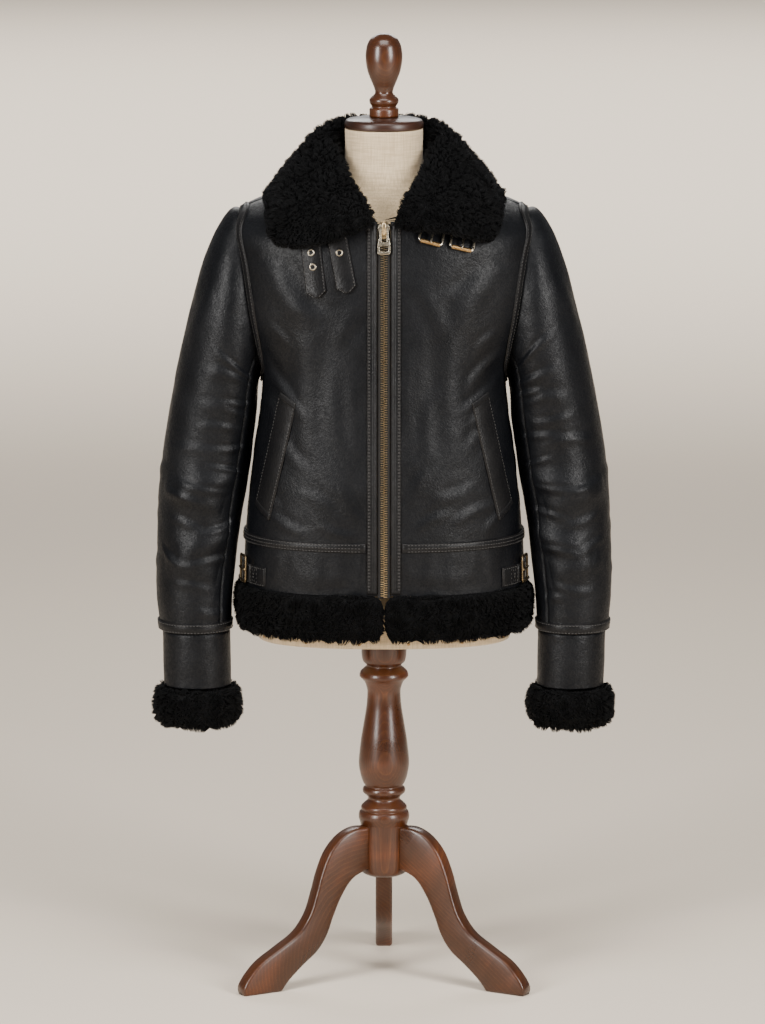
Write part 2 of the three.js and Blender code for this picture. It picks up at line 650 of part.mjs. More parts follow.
// The collar's middle surface at a place round the neck and a share of the way from the seam
// at the neckline over the roll to the free edge.
function collarMiddle(place, share) {
  const side = Math.abs(place);
  const spot = (key, at) => new THREE.Vector3(valueAt(collarRows, 'place', `${key}X`, at),
    valueAt(collarRows, 'place', `${key}Y`, at), valueAt(collarRows, 'place', `${key}Z`, at));
  const value = (key) => valueAt(collarRows, 'place', key, side);
  const base = spot('base', side);
  const roll = spot('roll', side);
  const edge = spot('edge', side);
  const fall = edge.clone().sub(roll);
  const along = spot('roll', side + 0.1).sub(spot('roll', side - 0.1));
  const away = along.cross(fall).normalize();
  if (place > 0) edge.z += value('rise');
  const turn = value('half');
  const over = roll.clone().addScaledVector(away, turn).addScaledVector(fall, 0.08);
  const bulge = roll.clone().lerp(edge, 0.55).addScaledVector(away, value('puff'));
  const curve = new THREE.CatmullRomCurve3([base, roll, over, bulge, edge], false, 'centripetal');
  const point = curve.getPoint(share);
  if (place < 0) point.x = -point.x;
  return point;
}

function buildCollar() {
  const shares = [0.03, 0.16, 0.29, 0.41, 0.54, 0.68, 0.81, 0.92, 1];
  const swell = [0.45, 0.75, 0.95, 1, 1, 1, 0.95, 0.75, 0.3];
  const places = steps(-7, 7, 31);
  const line = (facing) => places.map((place) => shares.map((share, j) => {
    const half = valueAt(collarRows, 'place', 'half', Math.abs(place)) * swell[j];
    const along = collarMiddle(place + 0.05, share).sub(collarMiddle(place - 0.05, share));
    const down = collarMiddle(place, Math.min(share + 0.02, 1))
      .sub(collarMiddle(place, share - 0.02));
    const normal = down.cross(along).normalize();
    return collarMiddle(place, share).addScaledVector(normal, facing * half);
  }));
  const trimmed = cut(wallSolid(line(1), line(-1)), coatCore(seam + 0.1), ...collarRooms);
  addMesh('collar', trimmed, fur);
}

// Zip and the strips beside it

function frontStrip(xs, levels, inner, outer) {
  const line = (out) => levels.map((z) => xs.map((x, j) => frontPoint(x, z, out[j])));
  return wallSolid(line(outer), line(inner));
}

function buildZip() {
  const levels = [zipBottom, 590, 660, 720, 780, 840, 900, 945, 1004];
  const xs = [0.2, 5.6, 5.9, 8.2];
  const half = frontStrip(xs, levels, [-3.6, -3.6, -3.6, -3.6], [-0.3, -0.3, -1.6, -1.6]);
  addMesh('zip_left', half, brass);
  addMesh('zip_right', mirrored(half), brass);
  const placketLevels = [530, 590, 650, 720, 780, 840, 900, 940, 972, 1003];
  const placketXs = [8.7, 15, 21.5];
  const strip = frontStrip(placketXs, placketLevels, placketXs.map(() => laidOn),
    placketXs.map(() => seam + trimThick));
  addMesh('placket_left', strip, leather);
  addMesh('placket_right', mirrored(strip), leather);
}

function extruded(outline, depth, holes = []) {
  const points = outline.map(([x, y]) => new THREE.Vector2(x, y));
  if (THREE.ShapeUtils.isClockWise(points)) points.reverse();
  const shape = new THREE.Shape(points);
  for (const hole of holes) shape.holes.push(hole);
  const geometry = new THREE.ExtrudeGeometry(shape, {
    depth, bevelEnabled: false, curveSegments: 6,
  });
  geometry.translate(0, 0, -depth / 2);
  return geometry;
}

function roundHole(x, y, radius) {
  const hole = new THREE.Path();
  hole.absarc(x, y, radius, 0, 2 * Math.PI, true);
  return hole;
}

function rectangleHole(x0, y0, x1, y1) {
  return new THREE.Path([[x0, y0], [x0, y1], [x1, y1], [x1, y0]].map(([x, y]) => (
    new THREE.Vector2(x, y))));
}

// A group whose Z looks away from the coat at a place of the front and whose Y points up it,
// leaned to the side by an angle in degrees.
function frontGroup(x, z, lift, lean) {
  const normal = frontNormal(x, z);
  const turn = THREE.MathUtils.degToRad(lean);
  const up = new THREE.Vector3(Math.sin(turn), 0, Math.cos(turn));
  const side = up.clone().cross(normal).normalize();
  up.copy(normal).cross(side).normalize();
  const group = new THREE.Group();
  group.quaternion.setFromRotationMatrix(new THREE.Matrix4().makeBasis(side, up, normal));
  group.position.copy(frontPoint(x, z, lift));
  part.add(group);
  return group;
}

function buildSlider() {
  const group = frontGroup(0.01, slider.pinZ, 0, 0);
  const top = slider.top - slider.pinZ;
  const low = top - slider.height;
  const halfTop = slider.width / 2;
  const plate = extruded([[-halfTop, top - 3], [-3.6, top], [3.6, top], [halfTop, top - 3],
    [halfTop - 0.6, low + 2], [3.4, low], [-3.4, low], [-halfTop + 0.6, low + 2]], slider.thick);
  plate.translate(0, 0, seam + slider.thick / 2);
  const base = seam + slider.thick - 0.2;
  const crown = extruded([[top - 1, base], [top - 1, base + 2.6], [top - 3, base + 4.6],
    [-1.5, base + 5], [-8, base + 3.6], [low + 4, base + 1], [low + 4, base]],
  slider.crown, [roundHole(0, base + 2.6, 1.3)]);
  addMesh('zip_slider', joined(plate, sideways(crown)), brass, group);

  const pivot = new THREE.Group();
  pivot.position.z = base + 2.6;
  group.add(pivot);
  const half = pull.wide / 2;
  const narrow = pull.waist / 2;
  const tab = extruded([[-half, -1.6], [-half + 1, 1.4], [half - 1, 1.4], [half, -1.6],
    [narrow, -10], [narrow, -14], [half + 0.4, -22], [half + 0.4, -pull.length + 2],
    [half - 1.4, -pull.length], [-half + 1.4, -pull.length],
    [-half - 0.4, -pull.length + 2], [-half - 0.4, -22], [-narrow, -14], [-narrow, -10]],
  pull.thick, [rectangleHole(-5.5, -32.5, 5.5, -25.5), rectangleHole(-3.4, -21, 3.4, 0)]);
  const room = new THREE.BoxGeometry(slider.crown + 0.8, 6, 6);
  const arms = [-1, 1].map((end) => {
    const arm = new THREE.CylinderGeometry(1, 1, half, 8);
    arm.rotateZ(Math.PI / 2);
    arm.translate((end * (half - 1)) / 2, 0, 0);
    return arm;
  });
  addMesh('zip_pull', joined(cut(tab, asManifold(room)), ...arms), nickel, pivot);
}

// Throat straps and eyelets

function buildThroatStraps() {
  let eyelet = 1;
  throatStraps.forEach((strap, i) => {
    const lean = THREE.MathUtils.degToRad(strap.lean);
    const place = (along, across) => ({
      x: strap.tipX - along * Math.sin(lean) + across * Math.cos(lean),
      z: strap.tipZ + along * Math.cos(lean) + across * Math.sin(lean),
    });
    const half = strapWidth / 2;
    const stations = [0, strapPoint, ...steps(24, strap.length, 6)];
    const across = [-1, -0.34, 0.34, 1];
    const line = (out, more) => stations.map((along, k) => across.map((share) => {
      const width = k === 0 ? 1.2 : half;
      const { x, z } = place(along, share * (width + more));
      return frontPoint(x, z, out);
    }));
    addMesh(`throat_strap_${i + 1}`, wallSolid(line(strapTop, 0), line(laidOn, 0)), leather);
    collarRooms.push(asManifold(wallSolid(line(strapRoom, 1), line(-wall, 1))));
    for (const along of strap.eyelets) {
      const { x, z } = place(along, 0);
      const group = frontGroup(x, z, eyeletLift, 0);
      const ring = new THREE.LatheGeometry([
        new THREE.Vector2(eyeletInner, 0), new THREE.Vector2(eyeletOuter, 0),
        new THREE.Vector2(eyeletOuter - 0.8, 1), new THREE.Vector2(eyeletInner + 0.5, 1),
        new THREE.Vector2(eyeletInner, 0)], 10);
      ring.rotateX(Math.PI / 2);
      addMesh(`eyelet_${eyelet}`, ring, nickel, group);
      eyelet += 1;
    }
  });
}

// Throat buckles: each hangs by its bar in a leather loop, with a prong on the bar and a
// roller on the lower rail.

function rod(radius, length, sides = 10) {
  const bar = new THREE.CylinderGeometry(radius, radius, length, sides);
  bar.rotateZ(Math.PI / 2);
  return bar;
}

function tube(inner, outer, length, sides = 12) {
  const half = length / 2;
  const section = [[inner, -half], [outer, -half], [outer, half], [inner, half], [inner, -half]];
  const ring = new THREE.LatheGeometry(section.map(([r, h]) => new THREE.Vector2(r, h)), sides);
  ring.rotateZ(Math.PI / 2);
  return ring;
}

function buckleFrame(width, height) {
  const rail = new THREE.BoxGeometry(3.2, height, 2 * wire);
  const left = rail.clone().translate(-width / 2 + 1.6, -height / 2, 0);
  const right = rail.clone().translate(width / 2 - 1.6, -height / 2, 0);
  const bar = rod(wire, width);
  const lower = rod(wire, width).translate(0, -height, 0);
  return joined(left, right, bar, lower);
}

function sideways(geometry) {
  return geometry.applyMatrix4(new THREE.Matrix4().makeBasis(new THREE.Vector3(0, 1, 0),
    new THREE.Vector3(0, 0, 1), new THREE.Vector3(1, 0, 0)));
}

function buildThroatBuckles() {
  throatBuckles.forEach((buckle, i) => {
    const lean = THREE.MathUtils.degToRad(buckle.lean);
    const middle = barToRoller / 2;
    const group = frontGroup(buckle.x + middle * Math.sin(lean),
      buckle.z + middle * Math.cos(lean), barLift, buckle.lean);
    const hanger = new THREE.Group();
    hanger.position.y = middle;
    group.add(hanger);
    const bore = wire + seam;
    const loop = sideways(extruded([[22, -8], [22, -2.2], [7, 3.2], [0, 3.7], [-2.6, 2.6],
      [-3.7, 0], [-3, -3], [-1, -8]], 23, [roundHole(0, 0, bore)]));
    const slot = new THREE.BoxGeometry(5.4, 12, 12).translate(0, -0.6, 0);
    const toWorld = asManifold(asGeometry(coatCore(seam)).applyMatrix4(
      new THREE.Matrix4().copy(worldOf(hanger)).invert()));
    addMesh(`buckle_loop_${i + 1}`, cut(loop, asManifold(slot), toWorld), leather, hanger);
    addMesh(`buckle_frame_${i + 1}`, buckleFrame(frameWidth, barToRoller), nickel, hanger);
    const tongue = sideways(extruded([[3.2, -1.2], [3.2, 1.6], [0, 3.4], [-6, 3.2],
      [-barToRoller + 1.5, 4.4], [-barToRoller - 0.5, 4.9], [-barToRoller - 0.5, 3.4],
      [-6, 0.6], [-3, -1.6], [0, -3.3]], 4, [roundHole(0, 0, bore)]));
    addMesh(`buckle_prong_${i + 1}`, tongue, nickel, hanger);
    const roller = tube(wire + seam, rollerRadius, rollerLength);
    roller.translate(0, -barToRoller, 0);
    addMesh(`buckle_roller_${i + 1}`, roller, brass, hanger);
    const reach = barToRoller + 6;
    const room = sideways(extruded([[26, -8], [26, buckleRoom], [4, buckleRoom + 0.5],
      [-reach, buckleRoom + reach * Math.tan(throatSwing)], [-reach, -8]],
    buckle.roomTo - buckle.roomFrom));
    room.translate((buckle.roomFrom + buckle.roomTo) / 2, 0, 0);
    collarRooms.push(asManifold(room.applyMatrix4(worldOf(hanger))));
  });
}

function worldOf(object) {
  object.updateWorldMatrix(true, false);
  return new THREE.Matrix4().makeTranslation(0, axisForward, 0).multiply(object.matrixWorld);
}

// Pockets and waist tabs

function buildPockets() {
  const [top, bottom] = pocketCorners;
  const mix = THREE.MathUtils.lerp;
  const line = (out) => steps(0, 1, 9).map((down) => steps(0, 1, 3).map((across) => {
    const x = mix(mix(top.outerX, bottom.outerX, down), mix(top.innerX, bottom.innerX, down),
      across);
    const z = mix(mix(top.outerZ, bottom.outerZ, down), mix(top.innerZ, bottom.innerZ, down),
      across);
    return frontPoint(x, z, out);
  }));
  const welt = wallSolid(line(weltTop), line(laidOn + 0.2));
  addMesh('pocket_welt_left', welt, leather);
  addMesh('pocket_welt_right', mirrored(welt), leather);
}

function bandStrip(from, to, count, outer = strapTop) {
  const heights = [sideTab.bottom, (sideTab.bottom + sideTab.top) / 2, sideTab.top];
  const line = (away) => steps(from, to, count).map((angle) => heights.map((z) => (
    coatPoint(z, angle, away))));
  return wallSolid(line(outer), line(laidOn));
}

function buildSideTabs() {
  const radians = THREE.MathUtils.degToRad;
  const level = (sideTab.top + sideTab.bottom) / 2;
  const tab = bandStrip(angleAtX(level, sideTab.frontX), -radians(sideTab.bandEnd), 5);
  addMesh('side_tab_left', tab, leather);
  addMesh('side_tab_right', mirrored(tab), leather);
  const strapSpan = [0.01 - radians(sideTab.bandEnd), radians(sideTab.strapEnd), 12];
  const strap = bandStrip(...strapSpan);
  addMesh('side_strap_left', strap, leather);
  addMesh('side_strap_right', mirrored(strap), leather);

  const angle = radians(sideBuckle.angle);
  const middle = coatPoint(sideBuckle.level, angle);
  const normal = coatPoint(sideBuckle.level, angle, 1).sub(middle).normalize();
  const along = new THREE.Vector3(0, 0, 1).cross(normal).normalize();
  const basis = new THREE.Matrix4().makeBasis(along, new THREE.Vector3().crossVectors(normal,
    along), normal);
  basis.setPosition(coatPoint(sideBuckle.level, angle, sideBuckle.lift));
  const { width, height, bar, thick, prongWide, prongThick } = sideBuckle;
  const [w, h] = [width / 2, height / 2];
  const frame = extruded([[-w, -h + 3], [-w + 3, -h], [w - 3, -h], [w, -h + 3], [w, h - 3],
    [w - 3, h], [-w + 3, h], [-w, h - 3]], thick, [rectangleHole(-w + bar, -h + bar, w - bar,
    h - bar)]);
  const prong = new THREE.BoxGeometry(width, prongWide, prongThick).translate(0.5, 0, 2.2);
  const buckle = joined(frame.translate(0, 0, thick / 2), prong.translate(0, 0, 1));
  buckle.applyMatrix4(basis);
  const strapGrown = asManifold(bandStrip(...strapSpan, strapTop + seam));
  addMesh('side_buckle_left', cut(buckle, strapGrown, coatGrown), nickel);
  addMesh('side_buckle_right', mirrored(part.children.at(-1).geometry), nickel);
}

// Dress form and stand

function shoulderSide(half) {
  let low = 1002;
  let high = 1057.9;
  for (let i = 0; i < 30; i += 1) {
    const middle = (low + high) / 2;
    if (valueAt(coatRows, 'side', 'half', middle) > half) low = middle;
    else high = middle;
  }
  return low;
}

function settledRow(row) {
  if (row.side !== undefined) return row;
  const side = shoulderSide(row.half);
  const inside = coatPoint(side, 0.001, -wall - restGap);
  return { ...row, half: inside.x, side: inside.z, frontZ: inside.z - row.frontDrop,
    backZ: inside.z - row.backDrop };
}

function buildForm() {
  const rows = formRows.map(settledRow);
  const angles = roundStations(24);
  const rings = rows.map((row) => angles.map((angle) => ringPoint(rows, row.side, angle)));
  addMesh('form_torso', ringSolid(rings), linen);
  addMesh('form_cap', lathe(capProfile, 20), wood);
  addMesh('finial', lathe(finialProfile, 14, finialTop), wood);
  addMesh('column', lathe(columnProfile, 14), wood);
}

function buildLegs() {
  const outline = new THREE.Shape();
  outline.moveTo(legTop[0].r, legTop[0].z);
  outline.splineThru(legTop.slice(1).map((p) => new THREE.Vector2(p.r, p.z)));
  outline.lineTo(legUnder[0].r, legUnder[0].z);
  outline.splineThru(legUnder.slice(1).map((p) => new THREE.Vector2(p.r, p.z)));
  const bevel = 3;
  const leg = new THREE.ExtrudeGeometry(outline, {
    depth: legThick - 2 * bevel, curveSegments: 1, bevelEnabled: true, bevelSegments: 1,
    bevelThickness: bevel, bevelSize: bevel, bevelOffset: -bevel,
  });
  leg.translate(0, 0, -legThick / 2 + bevel);
  leg.rotateX(Math.PI / 2);
  const seat = columnProfile.map((row) => ({ r: row.r + seam, z: row.z }));
  const columnGrown = asManifold(lathe(seat, 14));
  for (const [name, turn] of Object.entries(legTurns)) {
    const turned = leg.clone().rotateZ(THREE.MathUtils.degToRad(turn));
    addMesh(name, cut(turned, columnGrown), wood);
  }
}

buildPanels();
buildWaistTape();
buildSleeves();
buildCuffs();
buildHemFur();
buildZip();
buildSlider();
buildThroatStraps();
buildThroatBuckles();
buildCollar();
buildPockets();
buildSideTabs();
buildForm();
buildLegs();

export default part;
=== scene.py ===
import itertools
import json
import math
import bpy
import numpy as np
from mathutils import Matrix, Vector, kdtree
from mathutils.geometry import tessellate_polygon

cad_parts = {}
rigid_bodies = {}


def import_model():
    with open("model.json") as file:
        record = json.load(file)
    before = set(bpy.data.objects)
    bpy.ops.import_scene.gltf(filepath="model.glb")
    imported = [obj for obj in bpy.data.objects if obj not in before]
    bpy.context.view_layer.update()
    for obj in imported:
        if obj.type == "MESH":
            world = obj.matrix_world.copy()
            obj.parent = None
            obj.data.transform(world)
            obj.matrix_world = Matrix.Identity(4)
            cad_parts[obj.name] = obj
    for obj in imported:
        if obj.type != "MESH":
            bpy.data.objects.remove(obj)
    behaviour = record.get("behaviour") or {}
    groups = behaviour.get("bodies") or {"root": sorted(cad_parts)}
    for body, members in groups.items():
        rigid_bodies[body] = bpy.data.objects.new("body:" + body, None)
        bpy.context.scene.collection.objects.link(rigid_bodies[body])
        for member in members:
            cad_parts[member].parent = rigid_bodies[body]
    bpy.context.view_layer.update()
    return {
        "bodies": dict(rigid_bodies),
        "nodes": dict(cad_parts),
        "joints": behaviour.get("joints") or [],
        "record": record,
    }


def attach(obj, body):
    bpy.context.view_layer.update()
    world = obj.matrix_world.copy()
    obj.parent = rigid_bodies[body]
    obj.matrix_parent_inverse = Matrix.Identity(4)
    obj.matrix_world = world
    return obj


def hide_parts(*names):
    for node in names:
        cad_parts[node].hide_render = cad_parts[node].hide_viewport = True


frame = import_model()

# Sizes are millimetres until a mesh is made. As in the solids, the column's axis is x = y = 0,
# the floor is z = 0, the coat faces -Y and the wearer's left is +X.
axisForward = 36.0
mainBody = "coat_on_form"
bodyPower = 2.4
sleevePower = 2.1
shoulderDrop = 1.3
waistSeam = 590.0
bandBottom = 528.0
frontEdge = 8.5
wristSeam = 538.0


def table(columns, *rows):
    return {name: np.array(values, float) for name, values in zip(columns.split(), zip(*rows))}


# The coat's outside: height at the side, at the centre front and back, half width and depths.
coatRows = table(
    "side frontZ backZ half front back",
    (466, 466, 466, 179, 125, 112),
    (528, 528, 528, 181, 127, 113),
    (590, 590, 590, 179, 128, 110),
    (660, 660, 660, 172, 127, 104),
    (705, 705, 705, 167, 125, 101),
    (750, 750, 750, 160, 123, 99),
    (806, 804, 806, 157, 121, 100),
    (835, 831, 836, 167, 120, 102),
    (878, 870, 880, 183, 119, 104),
    (917, 904, 922, 191, 118, 105),
    (965, 940, 966, 194, 116, 104),
    (1000, 962, 998, 192, 114, 101),
    (1016, 974, 1018, 174, 113, 97),
    (1031, 985, 1036, 133, 112, 90),
    (1045, 996, 1054, 94, 111, 80),
    (1058, 1006, 1070, 64, 110, 66),
)

# The sleeve's outside, down its length: outer and inner edge from the front, half depth, middle.
sleeveRows = table(
    "reach outX outZ inX inZ depth middle",
    (-30, 160, 984, 132, 816, 54, 4),
    (0, 188, 1012, 152, 801, 62, 4),
    (30, 210, 993, 159, 793, 71, 5),
    (70, 231, 946, 162, 780, 76, 6),
    (125, 247.5, 886, 163, 762, 76, 6),
    (185, 263, 820, 164.5, 738, 74, 5),
    (250, 276.5, 752, 168.5, 706, 71, 4),
    (315, 286.5, 688, 174, 668, 68, 1),
    (375, 291.5, 628, 182, 622, 64, -4),
    (445, 294, 560, 190.5, 560, 60, -10),
    (495, 293.5, 511, 196, 511, 56, -16),
    (538, 289.5, 468, 198, 468, 52, -20),
)
sleeveEndRows = table(
    "reach outX outZ inX inZ depth middle",
    (0, 286.5, 467.7, 199, 467.7, 49.5, -20),
    (40, 286, 428, 198, 428, 48, -23),
    (72, 285, 396, 197.5, 396, 46, -25),
)

# The collar from the centre back to its front end: neckline, roll line and free edge.
collarRows = table(
    "place baseX baseY baseZ rollX rollY rollZ edgeX edgeY edgeZ half puff rise",
    (0, 0, 64, 1076, 0, 68, 1110, 0, 122, 1012, 10, 9, 0),
    (1, 42, 50, 1070, 46, 51, 1109, 88, 106, 1013, 10, 9, 0),
    (2, 62, 14, 1063, 67, 16, 1100, 146, 46, 1020, 10, 9, 0),
    (3, 61, -30, 1052, 61, -26, 1080, 152, -32, 1004, 10, 11, 0),
    (4, 52, -70, 1032, 49, -66, 1056, 143, -97, 973, 9.5, 15, 2),
    (5, 34, -98, 1018, 34, -97, 1036, 100, -127, 967, 9, 13, 12),
    (6, 23, -108, 1010, 22, -113, 1016, 52, -129, 988, 7.5, 7, 6),
    (7, 18, -112, 1006, 17, -117, 1006, 24, -121, 998, 4.5, 2, 0),
)


# Reading the tables

def valueAt(rows, key, column, at):
    keys, values = rows[key], rows[column]
    at = np.asarray(at, float)
    here = np.arange(len(keys))
    before, after = np.maximum(here - 1, 0), np.minimum(here + 1, len(keys) - 1)
    slope = (values[after] - values[before]) / (keys[after] - keys[before])
    i = np.clip(np.searchsorted(keys[1:], at), 0, len(keys) - 2)
    span = keys[i + 1] - keys[i]
    t = (at - keys[i]) / span
    t2, t3 = t * t, t * t * t
    return (values[i] * (2 * t3 - 3 * t2 + 1) + slope[i] * span * (t3 - 2 * t2 + t)
            + values[i + 1] * (3 * t2 - 2 * t3) + slope[i + 1] * span * (t3 - t2))


def stack(x, y, z):
    return np.stack(np.broadcast_arrays(x, y, z), -1).astype(float)


def signedPower(value, power):
    return np.sign(value) * np.abs(value) ** power


def unit(vectors):
    return vectors / np.maximum(np.linalg.norm(vectors, axis=-1, keepdims=True), 1e-9)


def valueNoise(points, size, seed=0):
    """Smooth random values from -1 to 1 over space, with blobs about one size across."""
    grid = np.asarray(points, float) / size + seed * 17.31
    cell = np.floor(grid).astype(np.int64)
    part = grid - cell
    smooth = part * part * (3 - 2 * part)
    total = np.zeros(grid.shape[:-1])
    for corner in itertools.product((0, 1), repeat=3):
        key = cell + corner
        mixed = (key[..., 0] * 73856093) ^ (key[..., 1] * 19349663) ^ (key[..., 2] * 83492791)
        mixed = (mixed & 0x7FFFFFFF) * 48271 % 2147483647
        mixed = (mixed ^ (mixed >> 13)) * 69621 % 2147483647
        weight = np.prod(np.where(corner, smooth, 1 - smooth), axis=-1)
        total += weight * (mixed / 1073741823.5 - 1)
    return total


# Surfaces

def depthAndMiddle(side, inFront):
    depth = np.where(inFront, valueAt(coatRows, "side", "front", side),
                     valueAt(coatRows, "side", "back", side))
    middle = np.where(inFront, valueAt(coatRows, "side", "frontZ", side),
                      valueAt(coatRows, "side", "backZ", side))
    return depth, middle


def coatRing(side, angle):
    sine = np.sin(angle)
    depth, middle = depthAndMiddle(side, sine < 0)
    y = signedPower(sine, 2 / bodyPower)
    x = valueAt(coatRows, "side", "half", side) * signedPower(np.cos(angle), 2 / bodyPower)
    return stack(x, depth * y, side + (middle - side) * np.abs(y) ** shoulderDrop)


def surfaceNormal(point, u, v, stepU, stepV):
    along = point(u, v + stepV) - point(u, v - stepV)
    up = point(u + stepU, v) - point(u - stepU, v)
    return unit(np.cross(along, up))


def coatPoint(side, angle, out=0.0):
    normal = surfaceNormal(coatRing, side, angle, 1.0, 0.03)
    return coatRing(side, angle) + normal * np.asarray(out)[..., None]


def coatPlace(points):
    """The level and angle of the coat nearest to points, and how far out they lie as a ratio."""
    side = points[..., 2].copy()
    inFront = points[..., 1] < 0
    for _ in range(24):
        depth, middle = depthAndMiddle(side, inFront)
        y = np.clip(np.abs(points[..., 1]) / depth, 0, 1)
        side = np.clip(side + points[..., 2] - side - (middle - side) * y ** shoulderDrop,
                       430, 1060)
    depth, _ = depthAndMiddle(side, inFront)
    half = valueAt(coatRows, "side", "half", side)
    across = signedPower(points[..., 0] / half, bodyPower / 2)
    deep = signedPower(points[..., 1] / depth, bodyPower / 2)
    return side, np.arctan2(deep, across), across ** 2 + deep ** 2


def onCoat(points, out):
    side, angle, _ = coatPlace(np.asarray(points, float))
    return coatPoint(side, angle, out)


def angleAtX(side, x):
    half = valueAt(coatRows, "side", "half", side)
    return -np.arccos(np.minimum(x / half, 1) ** (bodyPower / 2))


def angleAtY(side, y):
    depth, _ = depthAndMiddle(side, np.asarray(y) < 0)
    return np.sign(y) * np.arcsin((np.abs(y) / depth) ** (bodyPower / 2))


def frontPoint(x, z, out=0.0):
    """Points of the coat's front at places seen from the front."""
    x, z = np.broadcast_arrays(np.asarray(x, float), np.asarray(z, float))
    low, high = np.full(x.shape, 466.0), np.full(x.shape, 1058.0)
    for _ in range(26):
        middle = (low + high) / 2
        below = coatRing(middle, angleAtX(middle, np.abs(x)))[..., 2] < z
        low, high = np.where(below, middle, low), np.where(below, high, middle)
    side = (low + high) / 2
    points = coatPoint(side, angleAtX(side, np.abs(x)), out)
    points[..., 0] *= np.where(x < 0, -1, 1)
    return points


def sleeveRing(rows, reach, angle):
    def at(column):
        return valueAt(rows, "reach", column, reach)
    across = signedPower(np.cos(angle), 2 / sleevePower)
    x = ((at("outX") + at("inX")) + (at("outX") - at("inX")) * across) / 2
    z = ((at("outZ") + at("inZ")) + (at("outZ") - at("inZ")) * across) / 2
    return stack(x, at("middle") + at("depth") * signedPower(np.sin(angle), 2 / sleevePower), z)


def sleevePoint(rows, reach, angle, out=0.0):
    def ring(r, a):
        return sleeveRing(rows, r, a)
    return ring(reach, angle) + surfaceNormal(ring, reach, angle, -1.0, 0.03) * np.asarray(out)[..., None]


# Camera, floor and light

def makeCamera():
    stand = {"distance": 7.5, "height": 1.9, "down": 9.7188, "lens": 206.96, "aside": -0.0019}
    camera = bpy.data.objects.new("camera", bpy.data.cameras.new("camera"))
    camera.data.sensor_fit = "VERTICAL"
    camera.data.sensor_height = 36
    camera.data.lens = stand["lens"]
    camera.data.clip_end = 200
    camera.location = (stand["aside"], -stand["distance"] - axisForward / 1000, stand["height"])
    camera.rotation_euler = (math.radians(90 - stand["down"]), 0, 0)
    bpy.context.scene.collection.objects.link(camera)
    bpy.context.scene.camera = camera


def makeStudio():
    paleFloor = {"color": (0.80, 0.70, 0.58), "half": 40.0}
    half = paleFloor["half"]
    mesh = bpy.data.meshes.new("floor")
    mesh.from_pydata([(-half, -half, 0), (half, -half, 0), (half, half, 0), (-half, half, 0)], [],
                     [(0, 1, 2, 3)])
    floor = bpy.data.objects.new("floor", mesh)
    bpy.context.scene.collection.objects.link(floor)
    plain = bpy.data.materials.new("floor")
    plain.use_nodes = True
    shader = plain.node_tree.nodes["Principled BSDF"]
    shader.inputs["Base Color"].default_value = (*paleFloor["color"], 1)
    shader.inputs["Roughness"].default_value = 0.9
    shader.inputs["Specular IOR Level"].default_value = 0.1
    mesh.materials.append(plain)

    world = bpy.data.worlds.new("studio")
    world.use_nodes = True
    background = world.node_tree.nodes["Background"]
    background.inputs["Color"].default_value = (0.98, 0.97, 0.96, 1)
    background.inputs["Strength"].default_value = 0.20
    bpy.context.scene.world = world

    lamps = {
        "softbox_left": {"at": (-2.3, -2.5, 1.7), "size": (0.8, 2.0), "watts": 142},
        "softbox_right": {"at": (2.3, -2.5, 1.7), "size": (0.8, 2.0), "watts": 142},
        "top": {"at": (0, -1.3, 3.2), "size": (2.0, 1.2), "watts": 62},
        "back": {"at": (0, 2.6, 2.4), "size": (2.0, 1.0), "watts": 40},
        "far": {"at": (0, 10, 5), "size": (10.0, 10.0), "watts": 640},
    }
    for name, lamp in lamps.items():
        light = bpy.data.lights.new(name, "AREA")
        light.shape = "RECTANGLE"
        light.size, light.size_y = lamp["size"]
        light.energy = lamp["watts"]
        light.color = (1.0, 0.98, 0.955)
        holder = bpy.data.objects.new(name, light)
        holder.location = lamp["at"]
        aim = Vector((0, 0, 0.75)) - Vector(lamp["at"])
        if name == "far":  # only brightens the floor behind
            aim = Vector((0, 0, -1))
            light.spread = math.radians(90)
        holder.rotation_euler = aim.to_track_quat("-Z", "Y").to_euler()
        bpy.context.scene.collection.objects.link(holder)


makeCamera()
makeStudio()
print("camera and studio made")


# Shader groups. Each gives colours, masks or heights, and the materials use them.

def newGroup(name, inputs, outputs):
    group = bpy.data.node_groups.new(name, "ShaderNodeTree")
    for label, kind, value in inputs:
        socket = group.interface.new_socket(label, in_out="INPUT", socket_type=kind)
        if value is not None:
            socket.default_value = value
    for label, kind in outputs:
        group.interface.new_socket(label, in_out="OUTPUT", socket_type=kind)
    return group, group.nodes.new("NodeGroupInput"), group.nodes.new("NodeGroupOutput")


def addNode(tree, kind, links=(), **settings):
    """A node with its properties and input values set and some inputs linked."""
    node = tree.nodes.new(kind)
    for key, value in settings.items():
        if hasattr(node, key):
            setattr(node, key, value)
        else:
            label = key.replace("_", " ")
            number = int(key[5:]) if key.startswith("input") else None
            node.inputs[number if number is not None else label].default_value = value
    for label, source in dict(links).items():
        tree.links.new(source, node.inputs[label])
    return node


def ramp(tree, source, stops):
    node = tree.nodes.new("ShaderNodeValToRGB")
    while len(node.color_ramp.elements) < len(stops):
        node.color_ramp.elements.new(0.5)
    for element, (place, color) in zip(node.color_ramp.elements, stops):
        element.position = place
        element.color = (*color, 1)
    tree.links.new(source, node.inputs["Fac"])
    return node.outputs["Color"]


def spread(tree, source, low, high, toLow, toHigh):
    node = addNode(tree, "ShaderNodeMapRange", {"Value": source}, From_Min=low, From_Max=high,
                   To_Min=toLow, To_Max=toHigh)
    return node.outputs["Result"]


